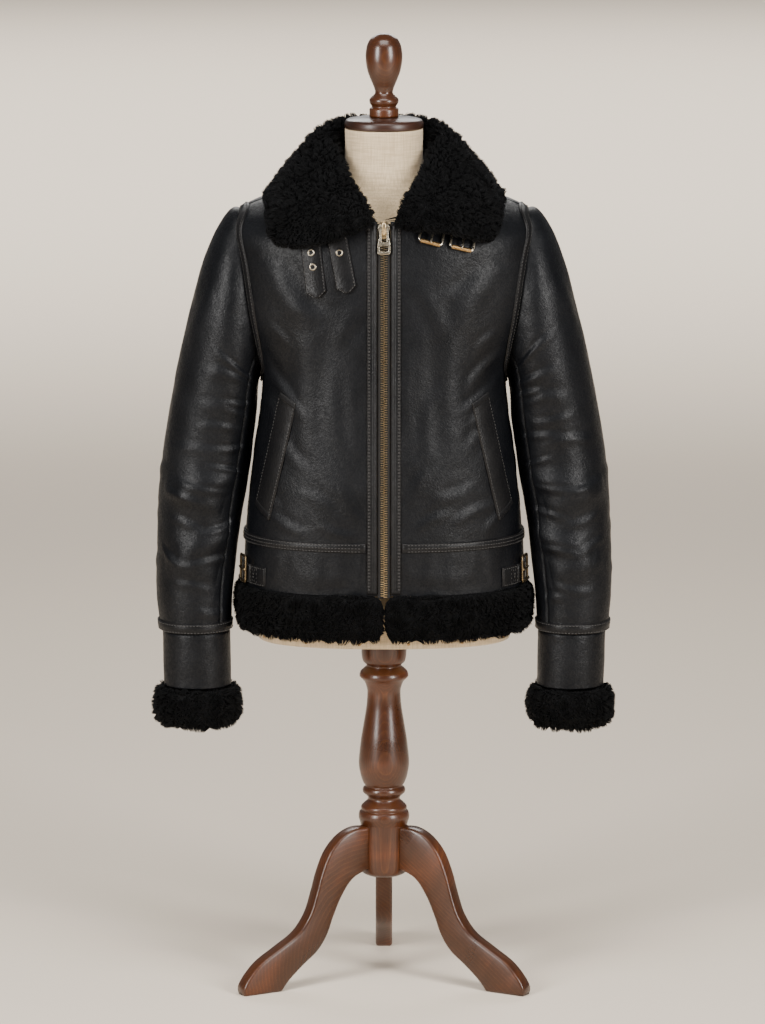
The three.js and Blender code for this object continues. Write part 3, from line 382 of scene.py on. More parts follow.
def makeGrainGroup():
    group, into, out = newGroup(
        "leatherGrain",
        [("Vector", "NodeSocketVector", None), ("Cells", "NodeSocketFloat", 520.0)],
        [("Height", "NodeSocketFloat"), ("Mottle", "NodeSocketFloat"),
         ("Crease", "NodeSocketFloat")])
    cells = addNode(group, "ShaderNodeTexVoronoi", {"Vector": into.outputs["Vector"],
                    "Scale": into.outputs["Cells"]}, feature="SMOOTH_F1")
    cells.inputs["Smoothness"].default_value = 0.4
    fine = addNode(group, "ShaderNodeTexNoise", {"Vector": into.outputs["Vector"]}, Scale=950.0,
                   Detail=3.0)
    pebble = addNode(group, "ShaderNodeTexNoise", {"Vector": into.outputs["Vector"]}, Scale=210.0,
                     Detail=4.0, Roughness=0.6)
    total = addNode(group, "ShaderNodeMath", {0: cells.outputs["Distance"],
                    1: fine.outputs["Fac"]}, operation="MULTIPLY_ADD")
    group.links.new(pebble.outputs["Fac"], total.inputs[2])
    broad = addNode(group, "ShaderNodeTexNoise", {"Vector": into.outputs["Vector"]}, Scale=16.0,
                    Detail=5.0, Roughness=0.62)
    crease = addNode(group, "ShaderNodeTexNoise", {"Vector": into.outputs["Vector"]}, Scale=46.0,
                     Detail=3.0, Distortion=1.2)
    group.links.new(total.outputs[0], out.inputs["Height"])
    group.links.new(broad.outputs["Fac"], out.inputs["Mottle"])
    group.links.new(crease.outputs["Fac"], out.inputs["Crease"])
    return group


def makeTarnishGroup():
    group, into, out = newGroup(
        "tarnish",
        [("Vector", "NodeSocketVector", None), ("Fresh", "NodeSocketColor", (0.6, 0.5, 0.3, 1)),
         ("Aged", "NodeSocketColor", (0.1, 0.06, 0.03, 1)), ("Amount", "NodeSocketFloat", 0.5)],
        [("Color", "NodeSocketColor"), ("Mask", "NodeSocketFloat"), ("Height", "NodeSocketFloat")])
    blotch = addNode(group, "ShaderNodeTexNoise", {"Vector": into.outputs["Vector"]}, Scale=260.0,
                     Detail=6.0, Roughness=0.65)
    scratch = addNode(group, "ShaderNodeTexNoise", {"Vector": into.outputs["Vector"]},
                      Scale=1500.0, Detail=3.0)
    mask = addNode(group, "ShaderNodeMath", {0: blotch.outputs["Fac"],
                   1: into.outputs["Amount"]}, operation="MULTIPLY")
    wide = spread(group, mask.outputs[0], 0.18, 0.36, 0.0, 1.0)
    color = addNode(group, "ShaderNodeMix", data_type="RGBA")
    group.links.new(wide, color.inputs["Factor"])
    group.links.new(into.outputs["Fresh"], color.inputs["A"])
    group.links.new(into.outputs["Aged"], color.inputs["B"])
    group.links.new(color.outputs["Result"], out.inputs["Color"])
    group.links.new(wide, out.inputs["Mask"])
    group.links.new(scratch.outputs["Fac"], out.inputs["Height"])
    return group


def makeWoodGroup():
    group, into, out = newGroup(
        "turnedWood",
        [("Vector", "NodeSocketVector", None), ("Rings", "NodeSocketFloat", 190.0)],
        [("Color", "NodeSocketColor"), ("Height", "NodeSocketFloat"),
         ("Shine", "NodeSocketFloat")])
    aside = addNode(group, "ShaderNodeMapping", {"Vector": into.outputs["Vector"]})
    aside.inputs["Location"].default_value = (0.0, -0.06, 0.0)  # the tree's middle lies behind
    aside.inputs["Rotation"].default_value = (0.02, 0.03, 0.0)
    aside.inputs["Scale"].default_value = (1.0, 1.0, 0.05)
    wobble = addNode(group, "ShaderNodeTexNoise", {"Vector": aside.outputs[0]}, Scale=22.0,
                     Detail=2.0)
    bent = addNode(group, "ShaderNodeMix", data_type="VECTOR", Factor=0.008)
    group.links.new(aside.outputs[0], bent.inputs[4])
    group.links.new(wobble.outputs["Color"], bent.inputs[5])
    length = addNode(group, "ShaderNodeVectorMath", {0: bent.outputs[1]}, operation="LENGTH")
    count = addNode(group, "ShaderNodeMath", {0: length.outputs["Value"],
                    1: into.outputs["Rings"]}, operation="MULTIPLY")
    part = addNode(group, "ShaderNodeMath", {0: count.outputs[0]}, operation="FRACT")
    pore = addNode(group, "ShaderNodeTexNoise", {"Vector": aside.outputs[0]}, Scale=900.0,
                   Detail=3.0, Roughness=0.7)
    bands = addNode(group, "ShaderNodeMapping", {"Vector": into.outputs["Vector"]})
    bands.inputs["Scale"].default_value = (0.5, 0.5, 1.5)
    broad = addNode(group, "ShaderNodeTexNoise", {"Vector": bands.outputs[0]}, Scale=14.0,
                    Detail=3.0)
    ringColor = ramp(group, part.outputs[0], [
        (0.0, (0.150, 0.058, 0.024)), (0.62, (0.128, 0.047, 0.019)),
        (0.86, (0.205, 0.090, 0.042)), (1.0, (0.150, 0.058, 0.024))])
    poreColor = ramp(group, pore.outputs["Fac"], [(0.35, (0.55, 0.5, 0.46)), (0.62, (1, 1, 1))])
    mixed = addNode(group, "ShaderNodeMix", data_type="RGBA", blend_type="MULTIPLY", Factor=0.75)
    group.links.new(ringColor, mixed.inputs["A"])
    group.links.new(poreColor, mixed.inputs["B"])
    shade = ramp(group, broad.outputs["Fac"], [(0.3, (0.62, 0.60, 0.60)), (0.52, (0.9, 0.86, 0.84)), (0.7, (1.7, 1.45, 1.1))])
    toned = addNode(group, "ShaderNodeMix", data_type="RGBA", blend_type="MULTIPLY", Factor=1.0)
    group.links.new(mixed.outputs["Result"], toned.inputs["A"])
    group.links.new(shade, toned.inputs["B"])
    group.links.new(toned.outputs["Result"], out.inputs["Color"])
    group.links.new(pore.outputs["Fac"], out.inputs["Height"])
    group.links.new(broad.outputs["Fac"], out.inputs["Shine"])
    return group


def makeWeaveGroup():
    group, into, out = newGroup(
        "weave",
        [("Across", "NodeSocketFloat", 0.0), ("Up", "NodeSocketFloat", 0.0),
         ("Vector", "NodeSocketVector", None), ("Threads", "NodeSocketFloat", 900.0)],
        [("Height", "NodeSocketFloat"), ("Slub", "NodeSocketFloat")])
    waves = []
    for name in ("Across", "Up"):
        turn = addNode(group, "ShaderNodeMath", {0: into.outputs[name],
                       1: into.outputs["Threads"]}, operation="MULTIPLY")
        cycle = addNode(group, "ShaderNodeMath", {0: turn.outputs[0]}, operation="MULTIPLY",
                        input1=2 * math.pi)
        waves.append(addNode(group, "ShaderNodeMath", {0: cycle.outputs[0]}, operation="SINE"))
    woven = addNode(group, "ShaderNodeMath", {0: waves[0].outputs[0], 1: waves[1].outputs[0]},
                    operation="MULTIPLY")
    slubs = []
    for scale in ((40, 40, 900), (700, 700, 30)):
        long = addNode(group, "ShaderNodeMapping", {"Vector": into.outputs["Vector"]})
        long.inputs["Scale"].default_value = scale
        slubs.append(addNode(group, "ShaderNodeTexNoise", {"Vector": long.outputs[0]}, Scale=1.0,
                             Detail=2.0))
    slub = addNode(group, "ShaderNodeMath", {0: slubs[0].outputs["Fac"],
                   1: slubs[1].outputs["Fac"]}, operation="MULTIPLY")
    group.links.new(woven.outputs[0], out.inputs["Height"])
    group.links.new(slub.outputs[0], out.inputs["Slub"])
    return group


grainGroup = makeGrainGroup()
tarnishGroup = makeTarnishGroup()
woodGroup = makeWoodGroup()
weaveGroup = makeWeaveGroup()


# Materials

def newMaterial(name):
    material = bpy.data.materials.new(name)
    material.use_nodes = True
    tree = material.node_tree
    return material, tree, tree.nodes["Principled BSDF"], tree.nodes.new("ShaderNodeTexCoord")


def useGroup(tree, group, links=(), **values):
    node = tree.nodes.new("ShaderNodeGroup")
    node.node_tree = group
    for label, value in values.items():
        node.inputs[label].default_value = value
    for label, source in dict(links).items():
        tree.links.new(source, node.inputs[label])
    return node


def addBump(tree, shader, height, strength, depth):
    bump = addNode(tree, "ShaderNodeBump", {"Height": height}, Strength=strength, Distance=depth)
    tree.links.new(bump.outputs["Normal"], shader.inputs["Normal"])
    return bump


def leatherMaterial(name, look):
    material, tree, shader, place = newMaterial(name)
    grain = useGroup(tree, grainGroup, {"Vector": place.outputs["Object"]}, Cells=look["cells"])
    base = ramp(tree, grain.outputs["Mottle"], [(0.3, look["dark"]), (0.72, look["light"])])
    worn = addNode(tree, "ShaderNodeAttribute", attribute_name="wear")
    broken = addNode(tree, "ShaderNodeMath", {0: worn.outputs["Fac"], 1: grain.outputs["Crease"]},
                     operation="MULTIPLY")
    mask = spread(tree, broken.outputs[0], 0.22, 0.62, 0.0, look["wearAmount"])
    color = addNode(tree, "ShaderNodeMix", data_type="RGBA")
    tree.links.new(mask, color.inputs["Factor"])
    tree.links.new(base, color.inputs["A"])
    color.inputs["B"].default_value = (*look["worn"], 1)
    tree.links.new(color.outputs["Result"], shader.inputs["Base Color"])
    rough = spread(tree, grain.outputs["Mottle"], 0.3, 0.7, *look["roughness"])
    pits = spread(tree, grain.outputs["Height"], 0.5, 0.95, 0.05, -0.05)
    pitted = addNode(tree, "ShaderNodeMath", {0: rough, 1: pits}, operation="ADD")
    tree.links.new(pitted.outputs[0], shader.inputs["Roughness"])
    tree.links.new(spread(tree, grain.outputs["Height"], 0.5, 0.95, *look["specular"]),
                   shader.inputs["Specular IOR Level"])
    soft = addBump(tree, shader, grain.outputs["Crease"], 0.25, 0.0007)
    fine = addNode(tree, "ShaderNodeBump", {"Height": grain.outputs["Height"],
                   "Normal": soft.outputs["Normal"]}, Strength=look["bump"], Distance=0.0008)
    tree.links.new(fine.outputs["Normal"], shader.inputs["Normal"])
    return material


def furMaterial():
    # The fur's colour grows lighter from root to tip as a painted sheen on the tips, broken into patches by noise;
    # the shader's own sheen stays weak.
    look = {"root": (0.0003, 0.0003, 0.0004), "tip": (0.0034, 0.0035, 0.0038), "sheen": 0.02}
    material, tree, shader, place = newMaterial("fur")
    tip = addNode(tree, "ShaderNodeAttribute", attribute_name="tip")
    patch = addNode(tree, "ShaderNodeTexNoise", {"Vector": place.outputs["Object"]}, Scale=34.0,
                    Detail=3.0)
    patchy = spread(tree, patch.outputs["Fac"], 0.3, 0.72, 0.35, 1.25)
    paintedTipSheen = addNode(tree, "ShaderNodeMath", {0: tip.outputs["Fac"], 1: patchy}, operation="MULTIPLY")
    tree.links.new(ramp(tree, paintedTipSheen.outputs[0], [(0.0, look["root"]), (1.0, look["tip"])]),
                   shader.inputs["Base Color"])
    shader.inputs["Roughness"].default_value = 0.7
    shader.inputs["Specular IOR Level"].default_value = 0.1
    shader.inputs["Sheen Weight"].default_value = look["sheen"]
    shader.inputs["Sheen Roughness"].default_value = 0.45
    shader.inputs["Sheen Tint"].default_value = (0.5, 0.52, 0.56, 1)
    return material


def metalMaterial(name, look):
    material, tree, shader, place = newMaterial(name)
    aged = useGroup(tree, tarnishGroup, {"Vector": place.outputs["Object"]},
                    Fresh=(*look["fresh"], 1), Aged=(*look["aged"], 1), Amount=look["amount"])
    tree.links.new(aged.outputs["Color"], shader.inputs["Base Color"])
    tree.links.new(spread(tree, aged.outputs["Mask"], 0, 1, *look["roughness"]),
                   shader.inputs["Roughness"])
    shader.inputs["Metallic"].default_value = 1.0
    addBump(tree, shader, aged.outputs["Height"], 0.25, 0.00012)
    return material


def woodMaterial(name, look):
    material, tree, shader, place = newMaterial(name)
    turn = addNode(tree, "ShaderNodeMapping", {"Vector": place.outputs["Object"]})
    turn.inputs["Location"].default_value = look["shift"]
    turn.inputs["Rotation"].default_value = look["turn"]
    figure = useGroup(tree, woodGroup, {"Vector": turn.outputs[0]}, Rings=look["rings"])
    tone = addNode(tree, "ShaderNodeMix", data_type="RGBA", blend_type="MULTIPLY", Factor=1.0)
    tree.links.new(figure.outputs["Color"], tone.inputs["A"])
    tone.inputs["B"].default_value = (*look["tone"], 1)
    tree.links.new(tone.outputs["Result"], shader.inputs["Base Color"])
    tree.links.new(spread(tree, figure.outputs["Shine"], 0.3, 0.7, 0.24, 0.40),
                   shader.inputs["Roughness"])
    shader.inputs["Coat Weight"].default_value = look["coat"]
    shader.inputs["Coat Roughness"].default_value = 0.16
    addBump(tree, shader, figure.outputs["Height"], 0.18, 0.0003)
    return material


def linenMaterial():
    look = {"light": (0.64, 0.50, 0.32), "dark": (0.44, 0.33, 0.20), "threads": 720.0}
    material, tree, shader, place = newMaterial("linen")
    split = addNode(tree, "ShaderNodeSeparateXYZ", {"Vector": place.outputs["Object"]})
    forward = addNode(tree, "ShaderNodeMath", {0: split.outputs["Y"]}, operation="ADD",
                      input1=axisForward / 1000)
    turn = addNode(tree, "ShaderNodeMath", {0: forward.outputs[0], 1: split.outputs["X"]},
                   operation="ARCTAN2")
    across = addNode(tree, "ShaderNodeMath", {0: turn.outputs[0]}, operation="MULTIPLY",
                     input1=0.055)
    weave = useGroup(tree, weaveGroup, {"Across": across.outputs[0], "Up": split.outputs["Z"],
                     "Vector": place.outputs["Object"]}, Threads=look["threads"])
    thread = spread(tree, weave.outputs["Height"], -1, 1, -0.10, 0.10)
    slub = addNode(tree, "ShaderNodeMath", {0: weave.outputs["Slub"], 1: thread},
                   operation="ADD")
    tree.links.new(ramp(tree, slub.outputs[0], [(0.12, look["dark"]), (0.36, look["light"])]),
                   shader.inputs["Base Color"])
    shader.inputs["Roughness"].default_value = 0.9
    shader.inputs["Sheen Weight"].default_value = 0.2
    addBump(tree, shader, weave.outputs["Height"], 0.4, 0.0003)
    return material


def clothMaterial(name, look):
    """Plain woven or wound thread in one colour."""
    material, tree, shader, place = newMaterial(name)
    rib = addNode(tree, "ShaderNodeTexWave", {"Vector": place.outputs["Object"]},
                  Scale=look["ribs"], Distortion=0.6, bands_direction="Z")
    tree.links.new(ramp(tree, rib.outputs["Fac"], [(0.2, look["dark"]), (0.9, look["light"])]),
                   shader.inputs["Base Color"])
    shader.inputs["Roughness"].default_value = 0.8
    addBump(tree, shader, rib.outputs["Fac"], 0.5, 0.0002)
    return material


panelLook = {"cells": 430.0, "dark": (0.0022, 0.0025, 0.0034), "light": (0.0044, 0.0049, 0.0062),
             "worn": (0.030, 0.027, 0.025), "wearAmount": 0.25, "roughness": (0.38, 0.50),
             "specular": (0.13, 0.22), "bump": 0.42}
trimLook = {**panelLook, "dark": (0.0035, 0.0036, 0.0042), "light": (0.0085, 0.0083, 0.0088),
            "worn": (0.028, 0.024, 0.021), "wearAmount": 0.3, "roughness": (0.32, 0.44),
            "bump": 0.35}
leather = leatherMaterial("leather", panelLook)
trimLeather = leatherMaterial("trimLeather", trimLook)
fur = furMaterial()
linen = linenMaterial()
brass = metalMaterial("brass", {"fresh": (0.72, 0.57, 0.35), "aged": (0.14, 0.09, 0.05),
                                "amount": 0.46, "roughness": (0.24, 0.45)})
bronze = metalMaterial("bronze", {"fresh": (0.50, 0.33, 0.15), "aged": (0.15, 0.075, 0.03),
                                  "amount": 0.5, "roughness": (0.3, 0.5)})
nickel = metalMaterial("nickel", {"fresh": (0.50, 0.45, 0.36), "aged": (0.17, 0.14, 0.10),
                                  "amount": 0.48, "roughness": (0.22, 0.45)})
darkNickel = metalMaterial("darkNickel", {"fresh": (0.32, 0.24, 0.14), "aged": (0.11, 0.075, 0.04),
                                          "amount": 0.52, "roughness": (0.28, 0.5)})
columnWood = woodMaterial("columnWood", {"shift": (0, 0.036, 0), "turn": (0, 0, 0),
                                         "rings": 620.0, "tone": (0.44, 0.33, 0.17), "coat": 0.2})
capWood = woodMaterial("capWood", {"shift": (0, 0.036, 0), "turn": (1.35, 0, 0.4),
                                   "rings": 260.0, "tone": (0.13, 0.095, 0.06), "coat": 0.04})
legWood = woodMaterial("legWood", {"shift": (0, 0.036, 0), "turn": (0.5, 0.9, 0.3),
                                   "rings": 240.0, "tone": (0.42, 0.33, 0.18), "coat": 0.1})
thread = clothMaterial("thread", {"ribs": 700.0, "dark": (0.012, 0.011, 0.011),
                                  "light": (0.10, 0.095, 0.09)})
zipTape = clothMaterial("zipTape", {"ribs": 260.0, "dark": (0.002, 0.0016, 0.0013),
                                    "light": (0.007, 0.005, 0.004)})
print("materials made")


# Meshes

def toFrame(points):
    return (np.asarray(points, float).reshape(-1, 3) + (0, -axisForward, 0)) / 1000


def outward(points, faces):
    """The faces, all turned round if they look inward."""
    volume = 0.0
    for group in faces:
        for k in range(1, group.shape[1] - 1):
            a, b, c = points[group[:, 0]], points[group[:, k]], points[group[:, k + 1]]
            volume += np.einsum("ij,ij->i", a, np.cross(b, c)).sum()
    return [group[:, ::-1] for group in faces] if volume < 0 else faces


def addPiece(name, points, faces, material, nodes=(), body=mainBody, smooth=True,
             marks=None):
    """A mesh object that rides on a body, replaces nodes and carries per-point marks."""
    points = toFrame(points)
    faces = outward(points, [np.asarray(group) for group in faces if len(group)])
    mesh = bpy.data.meshes.new(name)
    mesh.from_pydata(points.tolist(), [], [face for group in faces for face in group.tolist()])
    mesh.update()
    if smooth:
        mesh.shade_smooth()
    for label, values in (marks or {}).items():
        layer = mesh.attributes.new(label, "FLOAT", "POINT")
        layer.data.foreach_set("value", np.ravel(values).astype(np.float32))
    mesh.materials.append(material)
    piece = bpy.data.objects.new(name, mesh)
    bpy.context.scene.collection.objects.link(piece)
    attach(piece, body)
    if nodes:
        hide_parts(*nodes)
    return piece


def quads(index):
    return np.stack([index[:-1, :-1], index[:-1, 1:], index[1:, 1:], index[1:, :-1]],
                    -1).reshape(-1, 4)


coarse = 4  # a shell's plain inside has one step for this many outside


def shell(outer, inner, around=False):
    """Points and faces of a closed wall between a fine outside grid and a coarse inside one."""
    rows, columns = outer.shape[:2]
    index = np.arange(rows * columns).reshape(rows, columns)
    within = index.size + np.arange(inner.shape[0] * inner.shape[1]).reshape(inner.shape[:2])
    if around:
        index = np.vstack([index, index[:1]])
        within = np.vstack([within, within[:1]])
    rims = []

    def close(outLine, inLine, turned):
        for k in range(len(inLine) - 1):
            edge = list(outLine[k * coarse:(k + 1) * coarse + 1])
            loop = edge + [inLine[k + 1], inLine[k]]
            rims.append(loop[::-1] if turned else loop)

    close(index[:, 0], within[:, 0], False)
    close(index[:, -1], within[:, -1], True)
    if not around:
        close(index[0], within[0], True)
        close(index[-1], within[-1], False)
    points = np.vstack([outer.reshape(-1, 3), inner.reshape(-1, 3)])
    return points, [quads(index), quads(within)[:, ::-1], np.array(rims)]


def loft(sections, closed=False):
    """Points and faces through closed sections, with a cap at each end unless closed."""
    count, sides = sections.shape[:2]
    index = np.arange(count * sides).reshape(count, sides)
    index = np.hstack([index, index[:, :1]])
    if closed:
        index = np.vstack([index, index[:1]])
    faces = [quads(index)]
    if not closed:
        faces.append(np.array([index[0, :-1][::-1], index[-1, :-1]])[:, ::-1])
        faces[-1] = faces[-1][:, ::-1]
    return sections.reshape(-1, 3), faces


def join(parts):
    """Several points and faces as one."""
    points, faces, start = [], [], 0
    for somePoints, someFaces in parts:
        points.append(np.asarray(somePoints).reshape(-1, 3))
        faces += [np.asarray(group) + start for group in someFaces if len(group)]
        start += len(points[-1])
    return np.vstack(points), faces


def lengthAlong(line):
    steps = np.linalg.norm(np.diff(line, axis=0), axis=-1)
    return np.concatenate([[0.0], np.cumsum(steps)])


def resample(line, places):
    along = lengthAlong(line)
    return np.stack([np.interp(places, along, line[:, k]) for k in range(3)], -1)


def edgeDistance(grid):
    """How far each point of a grid lies from its four sides: first and last row and column."""
    def run(values, axis):
        steps = np.linalg.norm(np.diff(values, axis=axis), axis=-1)
        start = np.zeros_like(np.take(steps, [0], axis=axis))
        return np.concatenate([start, np.cumsum(steps, axis=axis)], axis=axis)
    down, across = run(grid, 0), run(grid, 1)
    return down, down[-1:] - down, across, across[:, -1:] - across


# Stitches

stitch = {"pitch": 4.3, "length": 3.1, "width": 0.85, "height": 0.55}


def stitchRow(line, normals):
    """Small thread stitches along a line of points that has a normal at each."""
    total = lengthAlong(line)[-1]
    count = max(int(total / stitch["pitch"]), 1)
    middles = (np.arange(count) + 0.5) * total / count
    centre = resample(line, middles)
    along = unit(resample(line, np.minimum(middles + 1, total)) - resample(line, middles - 1))
    places = lengthAlong(line)
    up = unit(np.stack([np.interp(middles, places, normals[:, k]) for k in range(3)], -1))
    aside = np.cross(along, up)
    parts = []
    half, wide, high = stitch["length"] / 2, stitch["width"] / 2, stitch["height"]
    profile = [(-1, 0.0, -0.2), (-0.6, 1.0, 0.6), (0.6, 1.0, 0.6), (1, 0.0, -0.2)]
    rings = []
    for shift, size, lift in profile:
        middle = centre + along * shift * half + up * lift * high * 0.5
        for turn in ((0,) if size == 0 else (0, 1, 2, 3)):
            across, rise = math.cos(turn * math.pi / 2), math.sin(turn * math.pi / 2)
            rings.append(middle + aside * across * wide * size + up * rise * high * size * 0.6)
    points = np.stack(rings, 1)
    one = [(0, 1, 2), (0, 2, 3), (0, 3, 4), (0, 4, 1)]
    two = [(1, 5, 6), (1, 6, 2), (2, 6, 7), (2, 7, 3), (3, 7, 8), (3, 8, 4), (4, 8, 5), (4, 5, 1)]
    three = [(9, 6, 5), (9, 7, 6), (9, 8, 7), (9, 5, 8)]
    faces = np.array(one + two + three)[None] + np.arange(count)[:, None, None] * 10
    parts.append((points, [faces.reshape(-1, 3)]))
    return join(parts)


def normalsOn(line):
    """Outward normals of the coat along a line that lies on it."""
    side, angle, _ = coatPlace(line)
    return surfaceNormal(coatRing, side, angle, 1.0, 0.03)


allStitches = []


def sew(line, normals=None):
    allStitches.append(stitchRow(line, normalsOn(line) if normals is None else normals))


def mirror(points):
    return np.asarray(points) * (-1, 1, 1)


# Creases and edges of leather

def creaseRise(across, along, rows, trough=0.55):
    """Soft creases, each from one place to another with a bow, a half width and a rise."""
    total = np.zeros(across.shape)
    for x0, y0, x1, y1, bow, width, rise in rows:
        dx, dy = x1 - x0, y1 - y0
        length = math.hypot(dx, dy)
        t = np.clip(((across - x0) * dx + (along - y0) * dy) / length ** 2, 0, 1)
        taper = np.sin(np.pi * t) ** 0.7
        off = (((across - x0) * dy - (along - y0) * dx) / length - bow * taper) / width
        total += rise * taper * (np.exp(-off ** 2) - trough * np.exp(-((off - 1.6) / 0.75) ** 2))
    return total


def seamRoll(distance, depth=1.5, width=2.0):
    return -depth * np.exp(-(distance / width) ** 2)


def pucker(points, distance, size=9.0, rise=0.7, reach=13.0, seed=0):
    """Small gathers in leather near a seam."""
    return rise * valueNoise(points, size, seed) * np.exp(-distance / reach)


def leatherNoise(points, seed):
    return (0.75 * valueNoise(points, 58, seed) + 0.4 * valueNoise(points, 23, seed + 1)
            + 0.16 * valueNoise(points, 9, seed + 2))


def graded(count, ends=0.78):
    """Shares from 0 to 1 that lie closer together near both ends."""
    t = np.linspace(0, 1, count)
    return t - ends * np.sin(2 * np.pi * t) / (2 * np.pi)


def maskedShell(outer, inner, keep):
    """A closed wall between two equal grids with only the cells in keep."""
    rows, columns = outer.shape[:2]
    index = np.arange(rows * columns).reshape(rows, columns)
    within = index + index.size
    cells = np.stack([index[:-1, :-1], index[:-1, 1:], index[1:, 1:], index[1:, :-1]], -1)
    under = cells + index.size
    framed = np.pad(keep, 1)
    walls = []
    sides = ((0, 1, framed[:-2, 1:-1]), (1, 2, framed[1:-1, 2:]), (2, 3, framed[2:, 1:-1]),
             (3, 0, framed[1:-1, :-2]))
    for a, b, neighbour in sides:
        edge = keep & ~neighbour
        walls.append(np.stack([cells[edge][:, b], cells[edge][:, a], under[edge][:, a],
                               under[edge][:, b]], -1))
    faces = np.vstack([cells[keep], under[keep][:, ::-1], *walls])
    used, faces = np.unique(faces, return_inverse=True)
    points = np.vstack([outer.reshape(-1, 3), inner.reshape(-1, 3)])[used]
    return points, [faces.reshape(-1, 4)], used


def insideSleeve(points, out):
    """Whether points lie within the left sleeve grown by a distance."""
    reaches = np.linspace(-30, 260, 117)
    ring = {key: valueAt(sleeveRows, "reach", key, reaches) for key in sleeveRows}
    middleX, middleZ = (ring["outX"] + ring["inX"]) / 2, (ring["outZ"] + ring["inZ"]) / 2
    halfX, halfZ = (ring["outX"] - ring["inX"]) / 2, (ring["outZ"] - ring["inZ"]) / 2
    x, z = points[..., 0, None], points[..., 2, None]
    turn = (x - middleX) * halfZ - (z - middleZ) * halfX
    crossed = turn[..., :-1] * turn[..., 1:] <= 0
    first = np.argmax(crossed, -1)
    half = np.hypot(halfX, halfZ)[first]
    across = ((points[..., 0] - middleX[first]) * halfX[first]
              + (points[..., 2] - middleZ[first]) * halfZ[first]) / half
    deep = (points[..., 1] - ring["middle"][first]) / (ring["depth"][first] + out)
    inside = (np.abs(across) / (half + out)) ** sleevePower + np.abs(deep) ** sleevePower < 1
    return inside & crossed.any(-1)


# Panels

frontCreases = {
    "left": (
        (150, 950, 92, 868, 6, 15, 3.0), (92, 880, 97, 690, 8, 15, 2.6),
        (156, 836, 108, 792, 5, 6, 2.2), (152, 806, 96, 762, -5, 6, 2.0),
        (150, 786, 112, 742, 4, 5, 1.6), (146, 862, 118, 838, 4, 5, 1.5),
        (140, 744, 104, 706, 5, 7, 1.2), (70, 800, 58, 700, 6, 9, 1.2),
        (146, 640, 88, 618, 5, 6, 1.7), (118, 668, 62, 652, -5, 7, 1.3),
        (88, 634, 40, 612, 4, 5, 1.4), (60, 690, 34, 640, 5, 8, 1.0),
        (40, 930, 74, 860, -6, 10, 1.3), (34, 840, 30, 740, 4, 8, 0.9),
        (120, 918, 66, 900, 5, 9, 1.1), (168, 640, 128, 604, 3, 5, 1.3),
    ),
    "right": (
        (147, 957, 90, 872, -6, 15, 3.2), (90, 884, 100, 706, -8, 15, 2.8),
        (154, 826, 112, 778, -5, 6, 2.3), (150, 800, 100, 748, 5, 6, 1.8),
        (148, 772, 120, 726, -4, 5, 1.5), (150, 872, 122, 842, 4, 5, 1.3),
        (132, 730, 96, 684, -5, 7, 1.4), (66, 820, 60, 716, -6, 10, 1.0),
        (150, 632, 96, 606, -5, 6, 1.8), (112, 660, 66, 634, 5, 7, 1.2),
        (84, 620, 34, 604, -4, 5, 1.5), (54, 680, 30, 622, -5, 8, 1.1),
        (36, 910, 70, 846, 6, 10, 1.2), (36, 800, 32, 706, -4, 8, 1.0),
        (126, 902, 70, 888, -5, 9, 1.0), (166, 668, 134, 630, 3, 5, 1.2),
    ),
}
backCreases = (
    (-150, 880, -78, 812, 8, 8, 2.0), (-152, 848, -92, 774, -7, 7, 1.8),
    (-146, 812, -104, 748, 5, 6, 1.5), (148, 890, 84, 828, -8, 8, 1.9),
    (150, 842, 96, 786, 7, 7, 2.0), (144, 806, 112, 736, -5, 6, 1.4),
    (-96, 1000, -70, 860, 10, 17, 2.6), (90, 996, 74, 872, -10, 17, 2.4),
    (-60, 780, -44, 650, 7, 13, 1.6), (52, 790, 40, 664, -7, 12, 1.7),
    (-120, 664, -30, 636, 8, 7, 1.8), (26, 652, 116, 676, -8, 7, 1.7),
    (-70, 626, 34, 616, 5, 6, 1.5), (58, 634, 128, 618, 5, 6, 1.3),
    (-142, 708, -90, 690, 5, 7, 1.3), (88, 716, 140, 702, -5, 7, 1.2),
    (-14, 960, -6, 830, 5, 14, 1.2), (-150, 636, -118, 610, -4, 5, 1.2),
    (126, 648, 152, 616, 4, 5, 1.3), (-24, 722, 30, 712, 6, 9, 1.1),
)
bandCreases = (
    (30, 586, 36, 532, 3, 5, 0.9), (58, 588, 52, 540, -3, 6, 0.7), (84, 580, 90, 530, 3, 5, 0.9),
    (112, 588, 108, 550, -3, 5, 0.7), (136, 584, 142, 534, 3, 6, 0.8),
    (166, 588, 158, 538, -3, 6, 0.8), (20, 560, 120, 552, 5, 9, 0.8),
)


def panelGrid(levels, anglesAt, relief, out=0.0):
    side = np.asarray(levels)[:, None]
    angle = anglesAt(side)
    flat = coatPoint(side, angle)
    return coatPoint(side, angle, relief(flat) + out), coatPoint(side, angle, -5.0)


def frontAngles(shares):
    def at(side):
        first, last = angleAtX(side, frontEdge), angleAtY(side, -0.15)
        return first + (last - first) * shares
    return at


def backAngles(shares):
    def at(side):
        edge = angleAtY(side, 0.15)
        return edge + (np.pi - 2 * edge) * shares
    return at


def panelRelief(rows, seed):
    def rise(points):
        _, _, start, end = edgeDistance(points)
        near = np.minimum(start, end)
        return (creaseRise(points[..., 0], points[..., 2], rows) + leatherNoise(points, seed)
                + seamRoll(near) + pucker(points, near, seed=seed))
    return rise


